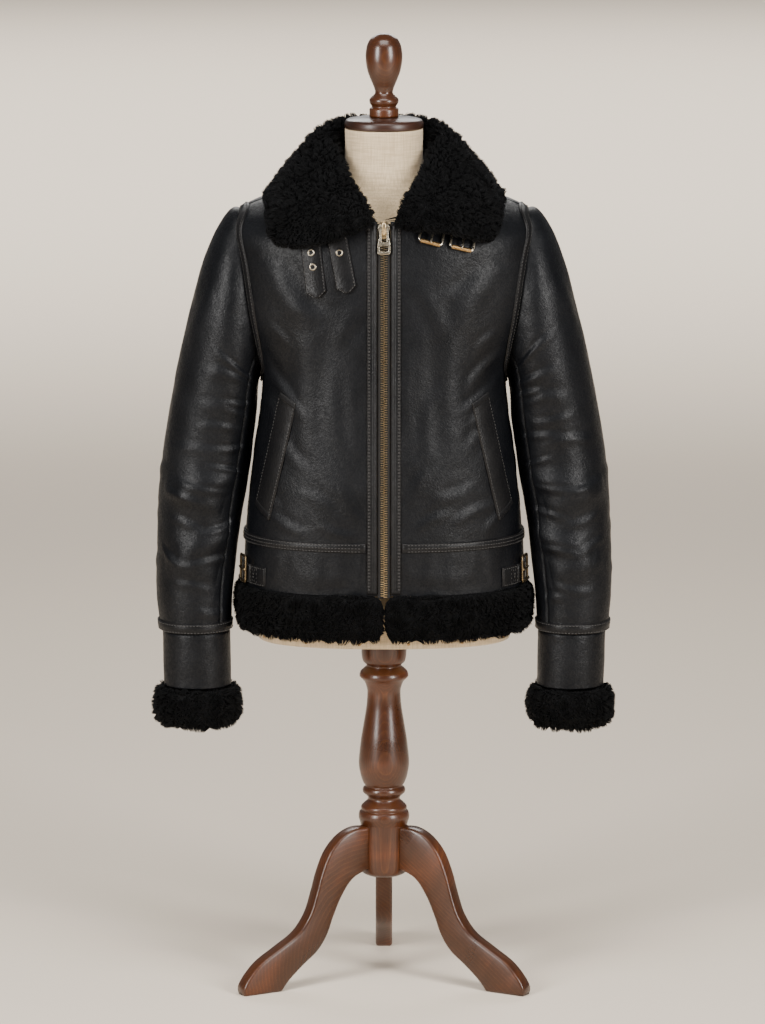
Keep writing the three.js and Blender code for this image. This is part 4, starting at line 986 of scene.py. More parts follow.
def makePanels():
    levels = 590.15 + (1058 - 590.15) * np.linspace(0, 1, 113)
    shares = graded(81)
    for name, rows, seed in (("left", frontCreases["left"], 3), ("right", frontCreases["right"], 9)):
        outer, inner = panelGrid(levels, frontAngles(shares), panelRelief(rows, seed))
        middle = (outer[1:, 1:] + outer[:-1, :-1]) / 2
        points, faces, _ = maskedShell(outer, inner, ~insideSleeve(middle, -2.6))
        if name == "right":
            points, outer = mirror(points), mirror(outer)
        piece = addPiece(f"leather_front_{name}", points, faces, leather,
                         [f"front_{name}"])
    outer, inner = panelGrid(levels, backAngles(graded(137)), panelRelief(backCreases, 15))
    middle = (outer[1:, 1:] + outer[:-1, :-1]) / 2
    keep = ~(insideSleeve(middle, -2.6) | insideSleeve(mirror(middle), -2.6))
    points, faces, _ = maskedShell(outer, inner, keep)
    piece = addPiece("leather_back", points, faces, leather, ["back"])

    levels = 528 + 61.85 * graded(33)
    for name, anglesAt, seed in (("left", frontAngles(graded(73)), 21),
                                 ("right", frontAngles(graded(73)), 27),
                                 ("back", backAngles(graded(113)), 33)):
        rows = bandCreases + tuple((-a, b, -c, d, e, f, g) for a, b, c, d, e, f, g in bandCreases)
        outer, inner = panelGrid(levels, anglesAt, panelRelief(rows, seed))
        points, faces = shell(outer, inner[::coarse, ::coarse])
        if name == "right":
            points, outer = mirror(points), mirror(outer)
        piece = addPiece(f"leather_waistband_{name}", points, faces, leather,
                         [f"waistband_{name}"])


# Sleeves

sleeveFolds = (
    (-144, 318, -56, 344, 0, 16, 4.6), (-120, 366, -30, 344, 0, 15, 5.0),
    (-150, 402, -62, 432, 0, 16, 5.2), (-124, 458, -42, 444, 0, 15, 4.2),
    (62, 345, 156, 366, 0, 16, 3.6), (40, 425, 128, 404, 0, 16, 3.8),
)
sleeveCreases = {
    "left": (
        (-150, 52, -70, 118, 6, 5.5, 1.9), (-148, 82, -78, 158, -5, 6, 1.8),
        (-152, 118, -92, 186, 5, 5, 1.6), (-140, 160, -70, 214, 7, 7, 1.5),
        (-128, 205, -62, 236, -6, 6, 1.2), (-150, 232, -84, 262, 5, 6, 1.7),
        (-112, 262, -40, 286, 6, 7, 1.4), (-150, 300, -98, 290, 4, 5, 1.6),
        (-135, 330, -60, 342, -5, 4.5, 1.7), (-92, 352, -30, 336, 4, 5, 1.3),
        (-148, 372, -88, 388, 5, 4.5, 1.8), (-100, 392, -45, 378, -4, 5, 1.4),
        (-140, 428, -80, 436, 5, 4.5, 1.9), (-84, 436, -36, 414, 4, 4.5, 1.5),
        (-120, 474, -58, 482, -4, 5, 1.5), (-150, 500, -96, 492, 4, 5, 1.3),
        (150, 70, 84, 140, 6, 6, 1.7), (146, 128, 92, 196, -6, 6, 1.5),
        (120, 220, 60, 246, 5, 7, 1.2), (150, 300, 84, 318, 5, 5, 1.6),
        (130, 356, 64, 344, -5, 6, 1.4), (148, 398, 90, 414, 5, 5, 1.7),
        (118, 446, 60, 436, 4, 5, 1.4), (140, 488, 84, 480, -4, 5, 1.3),
        (-30, 330, 36, 342, 5, 8, 1.0), (-24, 402, 44, 390, -5, 8, 1.0),
        (-20, 460, 40, 470, 5, 8, 0.9), (-58, 60, -30, 150, 6, 12, 1.6),
    ),
    "right": (
        (-152, 60, -76, 132, -6, 5.5, 2.0), (-146, 96, -70, 176, 5, 6, 1.7),
        (-150, 140, -84, 200, -5, 5, 1.7), (-144, 184, -66, 226, 6, 7, 1.4),
        (-130, 222, -70, 256, 5, 6, 1.3), (-148, 250, -90, 276, -5, 6, 1.5),
        (-108, 280, -36, 300, 6, 7, 1.3), (-152, 312, -90, 306, 4, 4.5, 1.8),
        (-130, 342, -52, 330, -5, 4.5, 1.6), (-96, 366, -34, 352, 4, 5, 1.4),
        (-150, 384, -84, 404, -5, 4.5, 1.9), (-98, 404, -50, 386, 4, 5, 1.3),
        (-144, 442, -76, 452, 5, 4.5, 1.7), (-80, 450, -30, 424, -4, 4.5, 1.6),
        (-116, 484, -60, 474, 4, 5, 1.4), (-148, 512, -90, 506, -4, 5, 1.2),
        (150, 84, 80, 152, -6, 6, 1.6), (144, 146, 96, 212, 6, 6, 1.4),
        (118, 236, 56, 224, -5, 7, 1.3), (148, 316, 88, 330, -5, 5, 1.5),
        (126, 370, 60, 360, 5, 6, 1.5), (150, 410, 86, 428, -5, 5, 1.6),
        (112, 460, 56, 448, -4, 5, 1.3), (138, 500, 90, 494, 4, 5, 1.2),
        (-34, 318, 30, 332, -5, 8, 1.1), (-20, 388, 48, 400, 5, 8, 0.9),
        (-26, 448, 36, 440, -5, 8, 1.0), (-54, 70, -26, 160, -6, 12, 1.5),
    ),
}
sleeveRadius = 62.0


def sleeveRise(reach, angle, rows, trough):
    total = np.zeros(np.broadcast(reach, angle).shape)
    for a0, r0, a1, r1, bow, width, rise in rows:
        middle = math.radians((a0 + a1) / 2)
        turn = np.arctan2(np.sin(angle - middle), np.cos(angle - middle)) * sleeveRadius
        half = math.radians(a1 - a0) / 2 * sleeveRadius
        total += creaseRise(turn, reach + 0 * turn, [(-half, r0, half, r1, bow, width, rise)], trough)
    return total


def armholeReach(angle):
    """How far down the sleeve its outside leaves the coat, at each angle."""
    reaches = np.linspace(-28, 120, 149)
    grid = sleevePoint(sleeveRows, reaches[None], angle[:, None])
    _, _, ratio = coatPlace(grid)
    inside = (ratio < 1) & (grid[..., 2] > 700)
    last = inside.shape[1] - 1 - np.argmax(inside[:, ::-1], 1)
    last = np.minimum(np.where(inside.any(1), last, 0), len(reaches) - 2)
    a = np.take_along_axis(ratio, last[:, None], 1)[:, 0] - 1
    b = np.take_along_axis(ratio, last[:, None] + 1, 1)[:, 0] - 1
    return reaches[last] + np.clip(a / np.where(np.abs(a - b) < 1e-6, 1, a - b), 0, 1)


def makeSleeves():
    under = math.pi - 0.78
    shares = np.linspace(0, 1, 161)
    for side, flip in (("left", False), ("right", True)):
        for part, first, last, count, seed in (("top", -under, under, 105, 41),
                                               ("under", under, 2 * math.pi - under, 37, 47)):
            angle = first + (last - first) * graded(count, 0.6)
            start = armholeReach(angle) - 1.5
            reach = start[:, None] + (538 - start)[:, None] * shares
            angle = angle[:, None] + 0 * reach
            flat = sleevePoint(sleeveRows, reach, angle)
            seams = np.minimum(*edgeDistance(flat)[:2])
            top, bottom = edgeDistance(flat)[2:]
            rise = (sleeveRise(reach, angle, sleeveFolds, 0.0)
                    + sleeveRise(reach, angle, sleeveCreases[side], 0.55)
                    + leatherNoise(flat, seed + 7 * flip) + seamRoll(seams)
                    + pucker(flat, seams, seed=seed) + seamRoll(top, 1.2, 3.0)
                    + pucker(flat, top, 11, 1.1, 18, seed + 1)
                    + pucker(flat, bottom, 9, 0.8, 14, seed + 2))
            rise *= np.clip(top / 14, 0.15, 1)
            outer = sleevePoint(sleeveRows, reach, angle, rise)
            inner = sleevePoint(sleeveRows, reach, angle, -5.0)[::coarse, ::coarse]
            points, faces = shell(outer, inner)
            if flip:
                points, outer = mirror(points), mirror(outer)
            piece = addPiece(f"leather_sleeve_{part}_{side}", points, faces, leather,
                             [f"sleeve_{part}_{side}"])

        angle = np.linspace(0, 2 * math.pi, 97)[:-1]
        reach = 72 * graded(25, 0.6)
        grid = np.broadcast_arrays(reach[None], angle[:, None])
        flat = sleevePoint(sleeveEndRows, *grid)
        _, _, top, bottom = edgeDistance(flat)
        rise = (leatherNoise(flat, 55 + 3 * flip) + seamRoll(top) + pucker(flat, top, seed=57)
                + pucker(flat, bottom, seed=58))
        outer = sleevePoint(sleeveEndRows, *grid, rise)
        inner = sleevePoint(sleeveEndRows, *grid, -5.0)[::coarse, ::coarse]
        points, faces = shell(outer, inner, around=True)
        if flip:
            points, outer = mirror(points), mirror(outer)
        piece = addPiece(f"leather_sleeve_end_{side}", points, faces, leather,
                         [f"sleeve_end_{side}"])


makePanels()
print("panels made")
makeSleeves()
print("sleeves made")


# Fur: a sunk base of skin and wool with tufts planted on it

furLook = {"spacing": 1.85, "width": 0.85, "clump": 38, "pull": 0.6}
random = np.random.default_rng(7)


def gridNormals(grid, around=False):
    if around:
        grid = np.concatenate([grid[-1:], grid, grid[:1]])
    normal = np.cross(np.gradient(grid, axis=0), np.gradient(grid, axis=1))
    return unit(normal[1:-1] if around else normal)


def plantRoots(grid, normals, spacing):
    """Random places on a grid's cells, spread by area, with normals."""
    a, b = grid[1:, 1:] - grid[:-1, :-1], grid[:-1, 1:] - grid[1:, :-1]
    area = (np.linalg.norm(np.cross(a, b), axis=-1) / 2).ravel()
    count = int(area.sum() / spacing ** 2)
    cells = random.choice(area.size, count, p=area / area.sum())
    i, j = np.divmod(cells, grid.shape[1] - 1)
    u, v = random.random((2, count, 1))

    def mix(values):
        return ((1 - u) * (1 - v) * values[i, j] + u * (1 - v) * values[i + 1, j]
                + (1 - u) * v * values[i, j + 1] + u * v * values[i + 1, j + 1])
    return mix(grid), unit(mix(normals))


def tuftPiece(name, grid, normals, length, droop, seed, body=mainBody, spacing=None):
    """Pointed tufts over a grid, leaning and drawn together in clumps, as one mesh."""
    roots, up = plantRoots(grid, normals, spacing or furLook["spacing"])
    swirl = np.stack([valueNoise(roots, 24, seed + k) for k in range(3)], -1)
    lean = up + 0.58 * swirl + random.normal(0, 0.16, roots.shape) + np.array(droop)
    reach = length * (0.82 + 0.22 * valueNoise(roots, 11, seed + 5)
                      + random.normal(0, 0.09, len(roots)))
    tips = roots + unit(lean) * reach[:, None]
    centres = random.choice(len(roots), max(len(roots) // furLook["clump"], 1), replace=False)
    tree = kdtree.KDTree(len(centres))
    for k, centre in enumerate(centres):
        tree.insert(tips[centre], k)
    tree.balance()
    nearest = centres[[tree.find(tip)[1] for tip in tips.tolist()]]
    pull = furLook["pull"] * random.uniform(0.6, 1.1, (len(roots), 1))
    tips += (tips[nearest] - tips) * pull
    along = unit(tips - roots)
    aside = unit(np.cross(along, random.normal(0, 1, roots.shape)))
    other = np.cross(along, aside)
    size = furLook["width"] * random.uniform(0.8, 1.3, (len(roots), 1))
    base = roots - along * 0.8
    corners = [base + size * (aside * math.cos(t) + other * math.sin(t))
               for t in (0, 2 * math.pi / 3, 4 * math.pi / 3)]
    points = np.stack([*corners, tips], 1)
    faces = np.array([(0, 1, 3), (1, 2, 3), (2, 0, 3), (2, 1, 0)])
    faces = faces[None] + np.arange(len(roots))[:, None, None] * 4
    # tip is 1 at each tuft's point, where the fur material paints its sheen, and 0 at the base corners.
    tip = np.tile([0.0, 0.0, 0.0, 1.0], len(roots))
    return addPiece(name, points.reshape(-1, 3), [faces.reshape(-1, 3)], fur, body=body,
                    marks={"tip": tip})


def collarMiddle(place, share):
    """The collar's middle surface over places round the neck and shares of the way down it."""
    side = np.abs(place)

    def spot(key, at):
        return stack(*(valueAt(collarRows, "place", key + axis, at) for axis in "XYZ"))
    base, roll, edge = spot("base", side), spot("roll", side), spot("edge", side)
    fall = edge - roll
    away = unit(np.cross(spot("roll", side + 0.1) - spot("roll", side - 0.1), fall))
    edge[..., 2] += np.where(place > 0, valueAt(collarRows, "place", "rise", side), 0)
    over = roll + away * valueAt(collarRows, "place", "half", side)[..., None] + fall * 0.08
    bulge = roll + (edge - roll) * 0.55 + away * valueAt(collarRows, "place", "puff", side)[..., None]
    line = [base, roll, over, bulge, edge]
    ends = [2 * line[0] - line[1], *line, 2 * line[-1] - line[-2]]
    scaled = np.clip(share, 0, 1) * 4
    result = np.zeros(base.shape)
    for k in range(4):
        p = ends[k:k + 4]
        gaps = [np.maximum(np.linalg.norm(p[i + 1] - p[i], axis=-1) ** 0.5, 1e-3)[..., None]
                for i in range(3)]
        t = np.clip(scaled - k, 0, 1)[..., None]
        startSlope = ((p[1] - p[0]) / gaps[0] - (p[2] - p[0]) / (gaps[0] + gaps[1])
                      + (p[2] - p[1]) / gaps[1]) * gaps[1]
        endSlope = ((p[2] - p[1]) / gaps[1] - (p[3] - p[1]) / (gaps[1] + gaps[2])
                    + (p[3] - p[2]) / gaps[2]) * gaps[1]
        t2, t3 = t * t, t * t * t
        part = (p[1] * (2 * t3 - 3 * t2 + 1) + startSlope * (t3 - 2 * t2 + t)
                + p[2] * (3 * t2 - 2 * t3) + endSlope * (t3 - t2))
        here = (scaled >= k) & ((scaled < k + 1) | (k == 3))
        result = np.where(here[..., None], part, result)
    result[..., 0] *= np.where(place < 0, -1, 1)
    return result


collarShares = np.array([0.03, 0.16, 0.29, 0.41, 0.54, 0.68, 0.81, 0.92, 1.0])
collarSwell = np.array([0.45, 0.75, 0.95, 1, 1, 1, 0.95, 0.75, 0.3])


def collarFace(place, share, facing, sink):
    along = collarMiddle(place + 0.05, share) - collarMiddle(place - 0.05, share)
    down = collarMiddle(place, np.minimum(share + 0.02, 1)) - collarMiddle(place, share - 0.02)
    half = valueAt(collarRows, "place", "half", np.abs(place)) * np.interp(
        share, collarShares, collarSwell) * sink
    return collarMiddle(place, share) + unit(np.cross(down, along)) * (facing * half)[..., None]


def liftOffCoat(points, floor):
    """Points no nearer to the coat's outside than a floor, below the neckline."""
    side, angle, _ = coatPlace(points)
    foot = coatPoint(side, angle)
    normal = surfaceNormal(coatRing, side, angle, 1.0, 0.03)
    height = ((points - foot) * normal).sum(-1)
    need = np.where(side < 1052, np.maximum(floor(points) - height, 0), 0)
    return points + normal * need[..., None]


def collarFloor(extra):
    """Room under the collar: over the straps on one side and the buckles on the other."""
    def floor(points):
        x, z = points[..., 0], points[..., 2]
        strap = np.clip((x + 118) / 12, 0, 1) * np.clip((-26 - x) / 8, 0, 1)
        buckle = np.clip((x - 34) / 8, 0, 1) * np.clip((128 - x) / 8, 0, 1)
        buckle *= np.clip((1034 - z) / 8, 0, 1)
        return 0.5 + extra + np.maximum(5.0 * strap, 13.5 * buckle)
    return floor


def makeCollar():
    place = np.linspace(-6.95, 6.95, 225)[:, None]
    trimmed = {"all": 0.965, "overBuckles": 0.075, "overStraps": 0.035}  # where the skin ends
    last = (trimmed["all"] - trimmed["overBuckles"] * np.exp(-((place - 5.3) / 0.75) ** 2)
            - trimmed["overStraps"] * np.exp(-((place + 5.1) / 0.6) ** 2))
    share = 0.03 + (last - 0.03) * graded(49, 0.45)[None]
    place, share = np.broadcast_arrays(place, share)
    sink = 0.55
    top = liftOffCoat(collarFace(place, share, -1, sink), collarFloor(4.0))
    below = liftOffCoat(collarFace(place, share, 1, sink), collarFloor(0.0))
    top[..., 2] += 5 * np.exp(-(place / 2) ** 2 - ((share - 0.3) / 0.2) ** 2)  # the back roll
    points, faces = shell(top, below[::coarse, ::coarse])
    piece = addPiece("fur_collar", points, faces, fur, ["collar"],
                     marks={"tip": np.zeros(len(points))})
    upper = tuftPiece("fur_collar_tufts", top, gridNormals(top), 8.6, (0, 0, -0.3), 61,
                      spacing=1.62)
    lower = tuftPiece("fur_collar_under", below[:, 30:], -gridNormals(below)[:, 30:], 3.2,
                      (0, 0, -0.3), 67, spacing=2.4)
    edges = np.stack([top[:, -1], below[:, -1]], 1)
    outward = unit(top[:, -1] - top[:, -3])
    rim = tuftPiece("fur_collar_rim", edges, np.stack([outward, outward], 1), 6.0,
                    (0, 0, -0.3), 69, spacing=1.2)


hemSection = np.array([
    (1.5, 527.7), (8.5, 524), (12.5, 512), (13.5, 494), (10.5, 477), (3, 470),
    (-4, 470), (-9, 480), (-10.5, 494), (-10, 510), (-8, 521), (-5, 527.7)])
cuffSection = np.array([
    (1, 395.7), (9.5, 392), (14, 380), (14.5, 362), (11, 349), (2, 342),
    (-5, 342), (-11, 350), (-12.5, 362), (-12, 378), (-9, 390), (-5, 395.7)])


def roundedSection(corners, count, middle, shrink):
    """A closed section through corners as evenly spaced points, shrunk toward its middle."""
    around = np.vstack([corners[-1:], corners, corners[:2]])
    steps = np.arange(len(corners))
    fine = np.linspace(0, len(corners), count, endpoint=False)
    k = fine.astype(int)
    t = (fine - k)[:, None]
    p = [around[(steps[k] + n) % len(around)] if n < 3 else around[np.minimum(k + 3, len(around) - 1)]
         for n in range(4)]
    line = 0.5 * (2 * p[1] + (p[2] - p[0]) * t + (2 * p[0] - 5 * p[1] + 4 * p[2] - p[3]) * t ** 2
                  + (3 * p[1] - 3 * p[2] + p[3] - p[0]) * t ** 3)
    return middle + (line - middle) * shrink


def makeHemFur():
    section = roundedSection(hemSection, 48, np.array([2.0, 508.0]), np.array([0.62, 0.97]))
    level = 500
    end = float(angleAtY(level, -0.15))
    first = float(angleAtX(level, 1.0))
    turn = np.linspace(0.08, math.pi / 2, 12)  # the rounded end at the centre front
    rounded = first + 0.05 * (1 - np.cos(turn))
    fronts = np.concatenate([rounded, np.linspace(rounded[-1], end, 115)[1:]])
    size = np.concatenate([np.sin(turn), np.ones(114)])
    backs = float(angleAtY(level, 0.15)) + (math.pi - 2 * float(angleAtY(level, 0.15))) * np.linspace(0, 1, 181)
    for name, angles, sizes, seed in (("left", fronts, size, 71), ("right", fronts, size, 77),
                                      ("back", backs, np.ones(181), 83)):
        out = 2 + (section[None, :, 0] - 2) * sizes[:, None]
        height = 503 + (section[None, :, 1] - 503) * np.sqrt(sizes)[:, None]
        grid = coatPoint(height, angles[:, None] + 0 * height, out)
        if name == "right":
            grid = mirror(grid)
        points, faces = loft(grid)
        piece = addPiece(f"fur_hem_{name}", points, faces, fur, [f"hem_fur_{name}"],
                         marks={"tip": np.zeros(len(points))})
        closed = np.concatenate([grid, grid[:, :1]], 1)
        normals = gridNormals(closed)
        if name == "right":
            normals = -normals
        outside = slice(0, 27)
        check = ((closed - closed.mean(1, keepdims=True)) * normals).sum()
        normals = normals if check > 0 else -normals
        outer = tuftPiece(f"fur_hem_{name}_tufts", closed[:, outside], normals[:, outside], 8.4,
                          (0, 0, -0.35), seed)
        inner = tuftPiece(f"fur_hem_{name}_inside", closed[:, 26:], normals[:, 26:], 4.5,
                          (0, 0, -0.5), seed + 3, spacing=2.9)


def makeCuffs():
    section = roundedSection(cuffSection, 40, np.array([1.0, 369.0]), np.array([0.64, 0.86]))
    angle = np.linspace(0, 2 * math.pi, 121)[:-1, None]
    middleX, halfX, middleY, halfY = 241.25, 43.75, -25.0, 46.0
    out = section[None, :, 0]
    grid = stack(middleX + (halfX + out) * np.cos(angle), middleY + (halfY + out) * np.sin(angle),
                 section[None, :, 1])
    for side, seed in (("left", 91), ("right", 97)):
        ring = grid if side == "left" else mirror(grid)
        points, faces = loft(ring, closed=True)
        piece = addPiece(f"fur_cuff_{side}", points, faces, fur, [f"cuff_fur_{side}"],
                         marks={"tip": np.zeros(len(points))})
        closed = np.concatenate([ring, ring[:, :1]], 1)
        closed = np.concatenate([closed, closed[:1]])
        normals = gridNormals(closed)
        check = ((closed - closed.mean(1, keepdims=True)) * normals).sum()
        normals = normals if check > 0 else -normals
        outer = tuftPiece(f"fur_cuff_{side}_tufts", closed[:, :23], normals[:, :23], 8.4,
                          (0, 0, -0.4), seed)
        inner = tuftPiece(f"fur_cuff_{side}_inside", closed[:, 22:], normals[:, 22:], 4.5,
                          (0, 0, -0.4), seed + 3, spacing=2.6)


makeCollar()
print("collar made")
makeHemFur()
makeCuffs()
print("hem and cuffs made")


# Trims: strips of leather with rounded edges and rows of stitches

def stripAway(width):
    near = np.array([0, 0.3, 0.8, 1.4, 1.9, 2.5])
    return np.concatenate([near, [width / 2], width - near[::-1]])


def stripRise(away, ends, thick, seams):
    """Height over a strip: rounded at its edges and ends, with a groove along each seam."""
    edge = np.minimum(away, away[-1] - away)
    rise = thick * (1 - 0.85 * np.exp(-(edge / 0.7) ** 2)) * (1 - 0.85 * np.exp(-(ends / 0.8) ** 2))
    for seam in seams:
        rise = rise - 0.32 * np.exp(-((away - seam) / 0.5) ** 2)
    return rise


def strip(name, nodes, ground, normal, away, low, thick, seams, around=False, extra=0.0, seed=0):
    """A strip over ground points with normals, sewn along its seams."""
    if around:
        ends = np.full(ground.shape[:2], 50.0)
    else:
        ends = np.minimum(*edgeDistance(ground)[:2])
    rise = low + stripRise(away, ends, thick, seams) + extra + 0.14 * valueNoise(ground, 10, seed)
    outer = ground + normal * rise[..., None]
    inner = (ground + normal * (low + np.zeros_like(rise) + extra)[..., None])[::coarse, ::coarse]
    points, faces = shell(outer, inner, around)
    edge = np.minimum(np.minimum(away, away[-1] - away), ends)
    wear = np.concatenate([np.exp(-(edge / 1.1) ** 2).ravel(), np.zeros(inner[..., 0].size)])
    piece = addPiece(name, points, faces, trimLeather, nodes, marks={"wear": wear})
    for seam in seams:
        column = int(np.argmin(np.abs(away - seam)))
        line, up = outer[:, column], normal[:, column]
        if around:
            line, up = np.vstack([line, line[:1]]), np.vstack([up, up[:1]])
        sew(line[2:-2] + up[2:-2] * 0.25, up[2:-2])
    return piece, outer


def coatStrip(name, nodes, first, second, away=None, low=0.4, thick=1.8, seams=None, around=False,
              extra=0.0, seed=0):
    """A strip on the coat's outside between two lines of points along its edges."""
    width = np.linalg.norm(second - first, axis=-1).max()
    away = stripAway(width) if away is None else away
    seams = (1.9, width - 1.9) if seams is None else seams
    share = (away / away[-1])[None, :, None]
    flat = first[:, None] * (1 - share) + second[:, None] * share
    side, angle, _ = coatPlace(flat)
    ground = coatPoint(side, angle)
    normal = surfaceNormal(coatRing, side, angle, 1.0, 0.03)
    return strip(name, nodes, ground, normal, away, low, thick, seams, around, extra, seed)


def frontLine(start, end, count):
    x, z = (np.linspace(start[k], end[k], count) for k in (0, 1))
    return frontPoint(x, z)


def makeTapes():
    first = float(angleAtX(590, 22.0))
    angle = np.linspace(first, math.pi - first, 361)
    piece, outer = coatStrip("leather_waist_tape", ["waist_tape"], coatPoint(584, angle),
                             coatPoint(596, angle), thick=2.0, seed=101,
                             seams=(1.9, 4.3, 10.1))

    angle = np.linspace(-math.pi, math.pi, 193)[:-1]
    reach = armholeReach(angle)
    loop = sleevePoint(sleeveRows, reach, angle)
    normal = normalsOn(loop)
    tangent = unit(np.roll(loop, -1, 0) - np.roll(loop, 1, 0))
    away = np.cross(normal, tangent)
    away *= np.sign((away * (loop - loop.mean(0))).sum(-1))[:, None]
    for side in ("left", "right"):
        first, second = loop + away * 0.3, loop + away * 10.8
        if side == "right":
            first, second = mirror(first)[::-1], mirror(second)[::-1]
        piece, outer = coatStrip(f"leather_armhole_tape_{side}", [f"armhole_tape_{side}"], first,
                                 second, thick=2.0, around=True, seed=105)

    angle = np.linspace(0, 2 * math.pi, 97)[:-1, None]
    away = stripAway(13.0)
    reach, angle = np.broadcast_arrays(538 - away[None], angle)
    ground = sleevePoint(sleeveRows, reach, angle)
    normal = unit(sleevePoint(sleeveRows, reach, angle, 1.0) - ground)
    for side in ("left", "right"):
        if side == "right":
            ground, normal = mirror(ground)[::-1], mirror(normal)[::-1]
        piece, outer = strip(f"leather_wrist_tape_{side}", [f"wrist_tape_{side}"], ground, normal,
                             away, 0.4, 2.0, (1.9, 11.1), around=True, seed=109)


def makePlackets():
    away = np.array([0, 0.3, 0.8, 1.6, 2.6, 3.5, 4.3, 5.1, 6.2, 7.4, 8.4, 9.4, 10.4, 11.2, 12.0,
                     12.5, 12.8])
    ridge = 0.9 * np.exp(-((away - 4.3) / 1.1) ** 2)
    for side, sign in (("left", 1), ("right", -1)):
        first, second = (frontLine((sign * x, 530), (sign * x, 1003), 201) for x in (8.7, 21.5))
        piece, outer = coatStrip(f"leather_placket_{side}", [f"placket_{side}"], first, second, away,
                                 low=0.5, thick=1.9, seams=(9.4, 11.2), extra=ridge, seed=113)


def makePockets():
    corners = {"outer": ((130.6, 785.0), (162.6, 636.0)), "inner": ((110.3, 772.5), (145.5, 619.0))}
    for side, sign in (("left", 1), ("right", -1)):
        lines = [frontLine((sign * a[0], a[1]), (sign * b[0], b[1]), 97)
                 for a, b in (corners["outer"], corners["inner"])]
        piece, outer = coatStrip(f"leather_pocket_{side}", [f"pocket_welt_{side}"], *lines,
                                 low=0.6, thick=2.7, seed=117)
        for end, part in (("top", slice(0, 6)), ("bottom", slice(91, 97))):
            ends = [resample(line[part], np.linspace(0, lengthAlong(line[part])[-1], 9))
                    for line in lines]
            coatStrip(f"leather_pocket_band_{end}_{side}", [], *ends, low=3.0, thick=1.0,
                      seams=(), seed=119)


throatStraps = (
    {"tipX": -84.5, "tipZ": 909, "lean": 7, "length": 76, "eyelets": (40, 58), "lift": 2.6},
    {"tipX": -46, "tipZ": 916, "lean": 11, "length": 80, "eyelets": (52, 71), "lift": 3.2},
)


def frontBasis(x, z, lift, lean):
    """A place on the front with the directions to its side, up and out."""
    out = unit(frontPoint(x, z, 1.0) - frontPoint(x, z, 0.0))
    turn = math.radians(lean)
    side = unit(np.cross((math.sin(turn), 0, math.cos(turn)), out))
    return frontPoint(x, z, lift), side, np.cross(out, side), out


def put(points, place):
    origin, side, up, out = place
    points = np.asarray(points, float)
    return origin + points[..., :1] * side + points[..., 1:2] * up + points[..., 2:] * out


def ringMesh(section, sides):
    """A closed ring about Z from a section of radius and height."""
    turn = np.linspace(0, 2 * math.pi, sides + 1)[:-1, None]
    grid = stack(section[None, :, 0] * np.cos(turn), section[None, :, 0] * np.sin(turn),
                 section[None, :, 1])
    return loft(grid, closed=True)


def makeThroatStraps():
    eyelet = 1
    section = np.array([(2.4, -0.6), (3.2, -0.7), (4.5, -0.5), (4.8, 0.0), (4.6, 0.5), (4.0, 0.95),
                        (3.3, 1.0), (2.8, 0.7), (2.5, 0.2)])
    for number, strap in enumerate(throatStraps, 1):
        turn = math.radians(strap["lean"])
        along = np.concatenate([np.linspace(0, 12, 17), np.linspace(12, strap["length"], 49)[1:]])
        half = 12.75 * np.clip(0.1 + 0.9 * along / 8, 0, 1)

        def line(sign):
            return frontPoint(strap["tipX"] - along * math.sin(turn) + sign * half * math.cos(turn),
                              strap["tipZ"] + along * math.cos(turn) + sign * half * math.sin(turn))
        lift = (strap["lift"] * np.exp(-along / 13))[:, None]
        piece, outer = coatStrip(f"leather_throat_strap_{number}", [f"throat_strap_{number}"],
                                 line(-1), line(1), low=0.6, thick=2.5, extra=lift, seed=121 + number)
        for place in strap["eyelets"]:
            x = strap["tipX"] - place * math.sin(turn)
            z = strap["tipZ"] + place * math.cos(turn)
            points, faces = ringMesh(section, 36)
            addPiece(f"nickel_eyelet_{eyelet}", put(points, frontBasis(x, z, 3.8, 0)), faces,
                     nickel, [f"eyelet_{eyelet}"])
            eyelet += 1


def makeSideTabs():
    def band(start, end, count):
        angle = np.linspace(start, end, count)
        return coatPoint(532, angle), coatPoint(557, angle)
    tabStart, tabEnd = float(angleAtX(544.5, 151.0)), -math.radians(22)
    for side, sign in (("left", 1), ("right", -1)):
        for part, start, end, count in (("tab", tabStart, tabEnd, 65),
                                        ("strap", tabEnd + 0.01, math.radians(38), 129)):
            lines = band(start, end, count)
            if sign < 0:
                lines = [mirror(line) for line in lines]
            piece, outer = coatStrip(f"leather_side_{part}_{side}", [f"side_{part}_{side}"], *lines,
                                     low=0.6, thick=2.6, seed=131)
            if part == "tab":
                start, end, low, high = 30, 58, 4, 8
                for a, b in (((start, low), (end, high)), ((start, high), (end, low)),
                             ((start, low), (start, high)), ((end, low), (end, high))):
                    rows = np.linspace(a[0], b[0], 24).round().astype(int)
                    across = np.linspace(a[1], b[1], 24)
                    corner = outer[rows, np.floor(across).astype(int)]
                    other = outer[rows, np.ceil(across).astype(int)]
                    sewn = corner + (other - corner) * (across % 1)[:, None]
                    sew(sewn + normalsOn(sewn) * 0.2)


makeTapes()
makePlackets()
makePockets()
makeThroatStraps()
makeSideTabs()
print("trims made")


# Metal

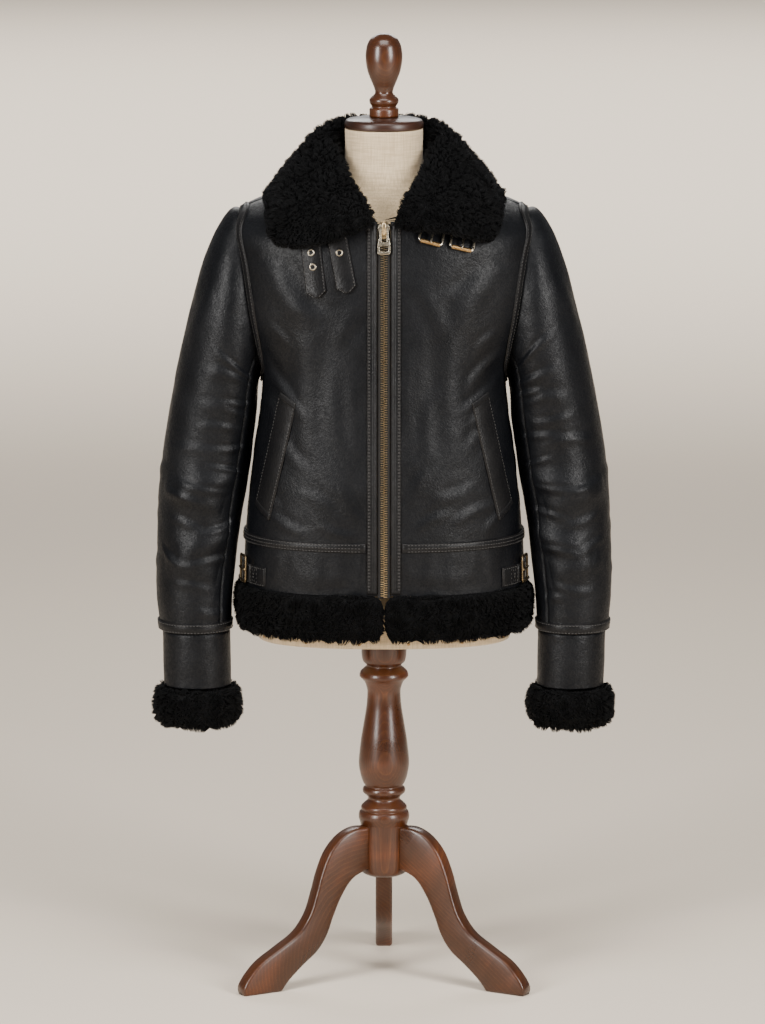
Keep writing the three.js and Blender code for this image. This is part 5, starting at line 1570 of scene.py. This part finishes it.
def smoothLine(corners, count, closed=False):
    """A smooth line through corners, evenly spaced."""
    corners = np.asarray(corners, float)
    if closed:
        around = np.vstack([corners[-1:], corners, corners[:2]])
    else:
        around = np.vstack([2 * corners[0] - corners[1], corners, 2 * corners[-1] - corners[-2]])
    pieces = []
    t = np.linspace(0, 1, 12, endpoint=False)[:, None]
    for k in range(len(around) - 3):
        a, b, c, d = around[k:k + 4]
        pieces.append(0.5 * (2 * b + (c - a) * t + (2 * a - 5 * b + 4 * c - d) * t ** 2
                             + (3 * b - 3 * c + d - a) * t ** 3))
    line = np.vstack([*pieces, around[-2:-1]])
    steps = np.concatenate([[0], np.cumsum(np.linalg.norm(np.diff(line, axis=0), axis=-1))])
    places = np.linspace(0, steps[-1], count + 1 if closed else count)
    line = np.stack([np.interp(places, steps, line[:, k]) for k in range(line.shape[1])], -1)
    return line[:-1] if closed else line


def sweep(path, across, deep, sideways, sides=12, closed=False):
    """A rounded section swept along a path; sideways is the section's first direction."""
    path = np.asarray(path, float)
    if closed:
        along = unit(np.roll(path, -1, 0) - np.roll(path, 1, 0))
    else:
        along = unit(np.gradient(path, axis=0))
    side = unit(np.broadcast_to(np.asarray(sideways, float), path.shape))
    side = unit(side - along * (side * along).sum(-1, keepdims=True))
    rise = np.cross(along, side)
    turn = np.linspace(0, 2 * math.pi, sides + 1)[:-1]
    wide = signedPower(np.cos(turn), 0.8)[None, :, None] * np.broadcast_to(across, len(path))[:, None, None]
    high = signedPower(np.sin(turn), 0.8)[None, :, None] * np.broadcast_to(deep, len(path))[:, None, None]
    return loft(path[:, None] + side[:, None] * wide + rise[:, None] * high, closed)


def roundedLoop(width, height, corner, count):
    """Points round a rectangle with rounded corners about the origin."""
    w, h = width / 2 - corner, height / 2 - corner
    arcs = []
    for (x, y), start in zip(((w, h), (-w, h), (-w, -h), (w, -h)), range(4)):
        turn = (start + np.linspace(0, 1, 7)) * math.pi / 2
        arcs.append(np.stack([x + corner * np.cos(turn), y + corner * np.sin(turn)], -1))
    loop = np.vstack(arcs)
    closed = np.vstack([loop, loop[:1]])
    steps = np.concatenate([[0], np.cumsum(np.linalg.norm(np.diff(closed, axis=0), axis=-1))])
    places = np.linspace(0, steps[-1], count + 1)[:-1]
    return np.stack([np.interp(places, steps, closed[:, k]) for k in (0, 1)], -1)


def plate(outline, holes, thick, bevel):
    """A flat plate about z = 0 with rounded edges, from an outline and holes."""
    def turned(loop, leftward):
        loop = np.asarray(loop, float)
        x, y = loop.T
        area = (x * np.roll(y, -1) - np.roll(x, -1) * y).sum()
        return loop if (area > 0) == leftward else loop[::-1]
    loops = [turned(outline, True)] + [turned(hole, False) for hole in holes]
    levels = [(bevel, -thick / 2), (0.3 * bevel, 0.3 * bevel - thick / 2), (0, bevel - thick / 2),
              (0, thick / 2 - bevel), (0.3 * bevel, thick / 2 - 0.3 * bevel), (bevel, thick / 2)]
    points, faces, caps, start = [], [], {0: [], len(levels) - 1: []}, 0
    for loop in loops:
        ahead, behind = unit(np.roll(loop, -1, 0) - loop), unit(loop - np.roll(loop, 1, 0))
        normals = unit(np.stack([-(ahead + behind)[:, 1], (ahead + behind)[:, 0]], -1))
        miter = 1 / np.maximum((normals * np.stack([-ahead[:, 1], ahead[:, 0]], -1)).sum(-1), 0.5)
        index = start + np.arange(len(levels) * len(loop)).reshape(len(levels), -1)
        for k, (inset, height) in enumerate(levels):
            flat = loop + normals * (miter * inset)[:, None]
            points.append(np.column_stack([flat, np.full(len(loop), height)]))
            if k in caps:
                caps[k].append((flat, index[k]))
        index = np.hstack([index, index[:, :1]])
        faces.append(np.stack([index[:-1, :-1], index[:-1, 1:], index[1:, 1:], index[1:, :-1]],
                              -1).reshape(-1, 4))
        start += len(levels) * len(loop)
    for k, found in caps.items():
        order = np.concatenate([places for _, places in found])
        flat = [[Vector((*p, 0)) for p in loop] for loop, _ in found]
        triangles = np.array(tessellate_polygon(flat))
        corners = order[triangles]
        a, b, c = (np.vstack([loop for loop, _ in found])[triangles[:, n]] for n in range(3))
        turn = (b[:, 0] - a[:, 0]) * (c[:, 1] - a[:, 1]) - (b[:, 1] - a[:, 1]) * (c[:, 0] - a[:, 0])
        up = k > 0
        corners[(turn > 0) != up] = corners[(turn > 0) != up][:, ::-1]
        faces.append(corners)
    return np.vstack(points), faces


def circle(x, y, radius, count):
    turn = np.linspace(0, 2 * math.pi, count + 1)[:-1]
    return np.stack([x + radius * np.cos(turn), y + radius * np.sin(turn)], -1)


def upright(points):
    """Turns a plate so that its X and Y look up and out, and its thickness to the side."""
    return np.asarray(points)[..., [2, 0, 1]]


zipTeeth = {"pitch": 3.0, "bottom": 525.5, "top": 1003.0, "reach": 4.5, "past": 0.7, "thick": 1.2}


def makeZip():
    count = int((zipTeeth["top"] - zipTeeth["bottom"]) / zipTeeth["pitch"])
    for side, sign, shift in (("left", 1, 0.0), ("right", -1, 0.5)):
        z = zipTeeth["bottom"] + (np.arange(count) + 0.5 + shift) * zipTeeth["pitch"]
        middle = frontPoint(np.full(count, sign * 0.01), z)
        out = unit(frontPoint(np.full(count, sign * 0.01), z, 1.0) - middle)
        up = unit(frontPoint(np.full(count, sign * 0.01), z + 1) - middle)
        aside = np.cross(up, out) * sign
        corners = []
        for depth, grow in ((-3.4, 0), (-1.4, 0), (-0.7, 0.35)):
            for x, y in ((-zipTeeth["past"] + grow, -1), (zipTeeth["reach"] - grow, -1),
                         (zipTeeth["reach"] - grow, 1), (-zipTeeth["past"] + grow, 1)):
                tall = y * (zipTeeth["thick"] / 2 - grow * 0.7)
                corners.append(middle + aside * x + up * tall + out * depth)
        points = np.stack(corners, 1)
        one = [(3, 2, 1, 0), (8, 9, 10, 11)]
        for low in (0, 4):
            one += [(low + a, low + b, low + b + 4, low + a + 4) for a, b in ((0, 1), (1, 2), (2, 3), (3, 0))]
        faces = (np.array(one)[None] + np.arange(count)[:, None, None] * 12).reshape(-1, 4)
        teeth = addPiece(f"brass_zip_teeth_{side}", points.reshape(-1, 3), [faces], brass,
                         [f"zip_{side}"], smooth=False)
        xs = np.array([0.25, 2.2, 4.2, 6.2, 8.3]) * sign
        rows = np.linspace(524.7, 1003.5, 241)[:, None]
        outer = frontPoint(xs[None], rows, np.array([[-2.9, -2.9, -2.9, -1.75, -1.75]]) + 0 * rows)
        inner = frontPoint(xs[None], rows, -3.6)
        points, faces = shell(outer, inner[::coarse, ::coarse])
        tape = addPiece(f"zip_tape_{side}", points, faces, zipTape)


def makeSlider():
    place = frontBasis(0.01, 1001, 0, 0)
    top, low = 6.0, -16.0
    body = plate([(-5.7, 3), (-3.6, 6), (3.6, 6), (5.7, 3), (5.1, low + 2), (3.4, low), (-3.4, low),
                  (-5.1, low + 2)], [], 2.2, 0.5)
    base = 2.3
    crown = plate(smoothLine([(top - 1, base), (top - 1, base + 2.6), (top - 3, base + 4.6),
                              (-1.5, base + 5), (-8, base + 3.6), (low + 4, base + 1),
                              (low + 4, base)], 30), [circle(0, base + 2.6, 1.3, 14)], 5.2, 0.8)
    parts = join([(body[0] + (0, 0, 1.4), body[1]), (upright(crown[0]), crown[1])])
    addPiece("brass_zip_slider", put(parts[0], place), parts[1], brass, ["zip_slider"])

    origin, side, up, out = place
    pivot = (origin + out * (base + 2.6), side, up, out)
    outline = smoothLine([(-7.5, -1.6), (-6.5, 1.4), (-3, 1.5), (3, 1.5), (6.5, 1.4), (7.5, -1.6),
                          (6.6, -6), (5.75, -10), (5.75, -14), (6.8, -18), (7.9, -22), (7.9, -28),
                          (7.9, -34), (6.5, -36), (0, -36), (-6.5, -36), (-7.9, -34), (-7.9, -28),
                          (-7.9, -22), (-6.8, -18), (-5.75, -14), (-5.75, -10), (-6.6, -6)],
                         110, closed=True)
    windows = [roundedLoop(11, 7, 1.2, 40) + (0, -29), roundedLoop(6.8, 19, 1.5, 44) + (0, -11.5)]
    tab = plate(outline, windows, 1.8, 0.45)
    pin = sweep([(x, 0, 0) for x in np.linspace(-7, 7, 9)], 1.0, 1.0, (0, 1, 0))
    parts = join([tab, pin])
    addPiece("nickel_zip_pull", put(parts[0], pivot), parts[1], nickel, ["zip_pull"],
             body="zip_pull")


throatBuckles = ({"x": 56.5, "z": 977, "lean": 15}, {"x": 95.7, "z": 968.5, "lean": 14})


def makeThroatBuckles():
    drop = 27.0
    for number, buckle in enumerate(throatBuckles, 1):
        turn = math.radians(buckle["lean"])
        origin, side, up, out = frontBasis(buckle["x"] + drop / 2 * math.sin(turn),
                                           buckle["z"] + drop / 2 * math.cos(turn), 4.4,
                                           buckle["lean"])
        bar = (origin + up * drop / 2, side, up, out)
        loop = roundedLoop(29.8, drop, 3.6, 72) + (0, -drop / 2)
        frame = sweep(np.column_stack([loop, np.zeros(72)]), 1.65, 1.65, (0, 0, 1), 12, True)
        addPiece(f"nickel_buckle_frame_{number}", put(frame[0], bar), frame[1], nickel,
                 [f"buckle_frame_{number}"], body=f"buckle_frame_{number}")
        line = smoothLine([(1.6, -2.7), (3.0, -1.0), (2.7, 1.5), (0.6, 3.0), (-3, 2.7), (-7, 2.2),
                           (-14, 2.7), (-22, 3.8), (-26, 4.2), (-27.9, 4.1)], 48)
        wide = np.interp(np.arange(48), [0, 14, 40, 47], [2.0, 1.9, 1.5, 0.8])
        prong = sweep(np.column_stack([np.zeros(48), line]), wide, 0.85, (1, 0, 0), 14)
        addPiece(f"nickel_buckle_prong_{number}", put(prong[0], bar), prong[1], nickel,
                 [f"buckle_prong_{number}"], body=f"buckle_prong_{number}")
        section = np.array([(2.15, -12.7), (2.7, -12.75), (2.9, -12.4), (2.85, -11.6), (2.8, -6),
                            (2.8, 0), (2.8, 6), (2.85, 11.6), (2.9, 12.4), (2.7, 12.75), (2.15, 12.7)])
        roller = ringMesh(section, 40)
        turned = roller[0][:, [2, 0, 1]] + (0, -drop, 0)
        addPiece(f"bronze_buckle_roller_{number}", put(turned, bar), roller[1], bronze,
                 [f"buckle_roller_{number}"], body=f"buckle_roller_{number}")
        wrap = smoothLine([(22, -2.6), (14, 0.2), (7, 3.0), (0, 3.8), (-2.9, 2.7), (-3.9, 0),
                           (-3.1, -3.2), (-1.5, -6.6)], 40)
        within = smoothLine([(-0.4, -6.6), (-1.4, -2.7), (-2.3, -1.2), (-2.25, 0.9), (-1.2, 2.1),
                             (0.6, 2.3), (2.1, 1.2), (2.4, -0.4), (4, -3.4), (12, -4.4), (22, -4.6)], 40)
        outline = np.vstack([wrap, within])
        halves = []
        for x in (-7.1, 7.1):
            leaf = plate(outline, [], 8.8, 0.5)
            halves.append((upright(leaf[0]) + (x, 0, 0), leaf[1]))
        points, faces = join(halves)
        addPiece(f"leather_buckle_loop_{number}", put(points, bar), faces, trimLeather,
                 [f"buckle_loop_{number}"])


def makeSideBuckles():
    angle, level = math.radians(-13), 549.0
    middle = coatPoint(level, angle)
    out = unit(coatPoint(level, angle, 1.0) - middle)
    side = unit(np.cross((0, 0, 1), out))
    place = (coatPoint(level, angle, 2.9), side, np.cross(out, side), out)
    loop = roundedLoop(27, 33, 3.4, 80)
    frame = sweep(np.column_stack([loop, np.full(80, 1.6)]), 1.45, 1.9, (0, 0, 1), 12, True)
    x = np.linspace(-15, 15.6, 25)
    prong = sweep(np.column_stack([x, np.zeros(25), 3.1 + 0.5 * np.cos(x / 10)]),
                  np.interp(x, [-15, 10, 15.6], [1.8, 1.6, 0.9]), 1.05, (0, 1, 0), 12)
    points, faces = join([frame, prong])
    for name, flip in (("left", False), ("right", True)):
        placed = put(points, place)
        addPiece(f"nickel_side_buckle_{name}", mirror(placed) if flip else placed, faces, darkNickel,
                 [f"side_buckle_{name}"])


makeZip()
makeSlider()
makeThroatBuckles()
makeSideBuckles()
print("metal made")


# Dress form and stand

formRows = (
    (452, 452, 452, 163, 92, 98), (500, 500, 500, 165, 94, 101), (560, 560, 560, 157, 93, 98),
    (640, 640, 640, 127, 87, 82), (720, 720, 720, 131, 92, 82), (800, 798, 800, 140, 103, 88),
    (860, 855, 860, 146, 106, 90), (930, 915, 930, 152, 101, 91), (985, 950, 985, 158, 96, 88),
    (1051.5, 1031, 1055, 57, 59, 53), (1064, 1050, 1068, 52, 53, 51),
    (1084, 1080, 1085, 50, 50, 50), (1113, 1113, 1113, 50, 50, 50),
)
underShoulder = (  # half width, how far front and back fall below the side, depths
    (156, 36, 4, 92, 82), (130, 37, 2, 86, 76), (98, 34, -2, 78, 66), (80, 29, -2, 69, 59),
)


def formTable():
    settled = []
    for half, frontDrop, backDrop, front, back in underShoulder:
        low, high = 1002.0, 1057.9
        for _ in range(30):
            middle = (low + high) / 2
            if valueAt(coatRows, "side", "half", middle) > half:
                low = middle
            else:
                high = middle
        inside = coatPoint(low, 0.001, -5.8)
        settled.append((inside[2], inside[2] - frontDrop, inside[2] - backDrop, inside[0], front, back))
    rows = sorted([*formRows, *settled])
    return table("side frontZ backZ half front back", *rows)


def formRing(rows, level, angle):
    sine = np.sin(angle)
    inFront = sine < 0
    depth = np.where(inFront, valueAt(rows, "side", "front", level), valueAt(rows, "side", "back", level))
    middle = np.where(inFront, valueAt(rows, "side", "frontZ", level),
                      valueAt(rows, "side", "backZ", level))
    y = signedPower(sine, 2 / bodyPower)
    x = valueAt(rows, "side", "half", level) * signedPower(np.cos(angle), 2 / bodyPower)
    return stack(x, depth * y, level + (middle - level) * np.abs(y) ** shoulderDrop)


def makeForm():
    rows = formTable()
    angle = np.linspace(0, 2 * math.pi, 129)[:-1]
    level = np.concatenate([np.linspace(452, 985, 60), rows["side"][9:13], np.linspace(1051.5, 1113, 26)])
    grid = formRing(rows, level[:, None], angle[None])
    grid[:, :, :2] *= 0.997
    seam = np.exp(-(grid[..., 0] / 1.3) ** 2) * (grid[..., 1] < 0)
    grid[..., 1] += 0.7 * seam
    edge = [grid[0] * (0.975, 0.975, 1), grid[0] * (0.99, 0.99, 1) + (0, 0, 0.3)]
    grid = np.concatenate([np.stack(edge), grid])
    grid[2, :, 2] += 1.2
    points, faces = loft(grid)
    body = addPiece("linen_form", points, faces, linen, ["form_torso"])
    for number, degrees in enumerate((236, 262, 278, 304, 340, 20, 60, 90, 120, 160, 200), 1):
        spot = formRing(rows, 459.0, math.radians(degrees))
        out = unit(spot * (1, 1, 0))
        side = np.cross((0, 0, 1), out)
        head = np.array([(0.05, 1.3), (0.9, 1.2), (1.7, 0.8), (2.2, 0.1), (2.2, -0.6), (0.05, -0.6)])
        turn = np.linspace(0, 2 * math.pi, 15)[:-1, None]
        grid = stack(head[None, :, 0] * np.cos(turn), head[None, :, 0] * np.sin(turn), head[None, :, 1])
        points, faces = loft(grid, closed=True)
        addPiece(f"tack_{number}", put(points, (spot, side, np.array((0, 0, 1.0)), out)), faces, bronze)


def latheRings(profile, sides, fine=4):
    line = np.asarray(profile, float)
    parts = [line[:1]]
    around = np.vstack([line[:1], line, line[-1:]])
    for k in range(len(line) - 1):
        a, b, c, d = around[k:k + 4]
        for t in np.linspace(0, 1, fine + 1)[1:]:
            parts.append((b + 0.35 * ((c - a) * t + (2 * a - 5 * b + 4 * c - d) * t ** 2
                                      + (3 * b - 3 * c + d - a) * t ** 3)
                          + 0.3 * (c - b) * t)[None])
    line = np.vstack(parts)
    turn = np.linspace(0, 2 * math.pi, sides + 1)[:-1]
    return stack(line[:, None, 0] * np.cos(turn), line[:, None, 0] * np.sin(turn), line[:, None, 1])


columnProfile = (
    (22, 136), (29, 140), (30.5, 150), (30.5, 200), (31.2, 206), (33, 212), (33, 216), (31.8, 220.5),
    (29.2, 222.5), (30, 225), (29.4, 228), (26, 231.5), (21.3, 236), (21, 239.5), (24, 243),
    (27.4, 246), (27.9, 249), (27, 252), (24.6, 254.8), (27.1, 259), (30, 267), (32.5, 279), (32.8, 290),
    (30, 316), (26, 340), (22.6, 362), (21.6, 380), (24, 390), (27, 395), (31.8, 400), (30.6, 406),
    (26.5, 410), (22.3, 414.5), (27.5, 420), (29.2, 430), (29.2, 451.6),
)
finialProfile = (
    (18.6, 1128.4), (18.6, 1138), (15.4, 1141), (18.4, 1146), (18.4, 1151), (11.6, 1158),
    (12.6, 1165), (16.4, 1174), (21, 1186), (23.3, 1198), (23.5, 1208), (21.8, 1219),
    (17.5, 1227.5), (9, 1233.5), (4, 1234.7), (0.5, 1235),
)
capProfile = ((49, 1113.4), (50.4, 1114.6), (50.7, 1118.5), (49.8, 1122.6), (47, 1125), (40, 1126.6),
              (30, 1127.8), (18, 1128.1))
legTop = ((27, 203), (48, 203), (68, 194), (86, 175), (98, 149), (106, 123), (116, 96), (133, 74),
          (159, 58), (188, 41), (206, 23), (214, 9), (212, 0))
legUnder = ((158, 0), (146, 14), (126, 31), (104, 48), (90, 68), (81, 90), (69, 115), (52, 137),
            (27, 148))


def makeStand():
    for name, node, profile, material in (("wood_column", "column", columnProfile, columnWood),
                                          ("wood_finial", "finial", finialProfile, columnWood),
                                          ("wood_cap", "form_cap", capProfile, capWood)):
        points, faces = loft(latheRings(profile, 72))
        addPiece(name, points, faces, material, [node])
    outline = np.vstack([smoothLine(legTop, 60), smoothLine(legUnder, 50)])
    for name, degrees in (("left", -30), ("right", -150), ("back", 90)):
        points, faces = plate(outline, [], 22, 3.4)
        turn = math.radians(degrees)
        along, aside = np.array((math.cos(turn), math.sin(turn), 0)), np.array((-math.sin(turn), math.cos(turn), 0))
        points = points[:, :1] * along + points[:, 2:] * aside + points[:, 1:2] * (0, 0, 1)
        addPiece(f"wood_leg_{name}", points, faces, legWood, [f"leg_{name}"])


makeForm()
makeStand()
points, faces = join(allStitches)
addPiece("thread_stitches", points, faces, thread)
print("form, stand and stitches made")
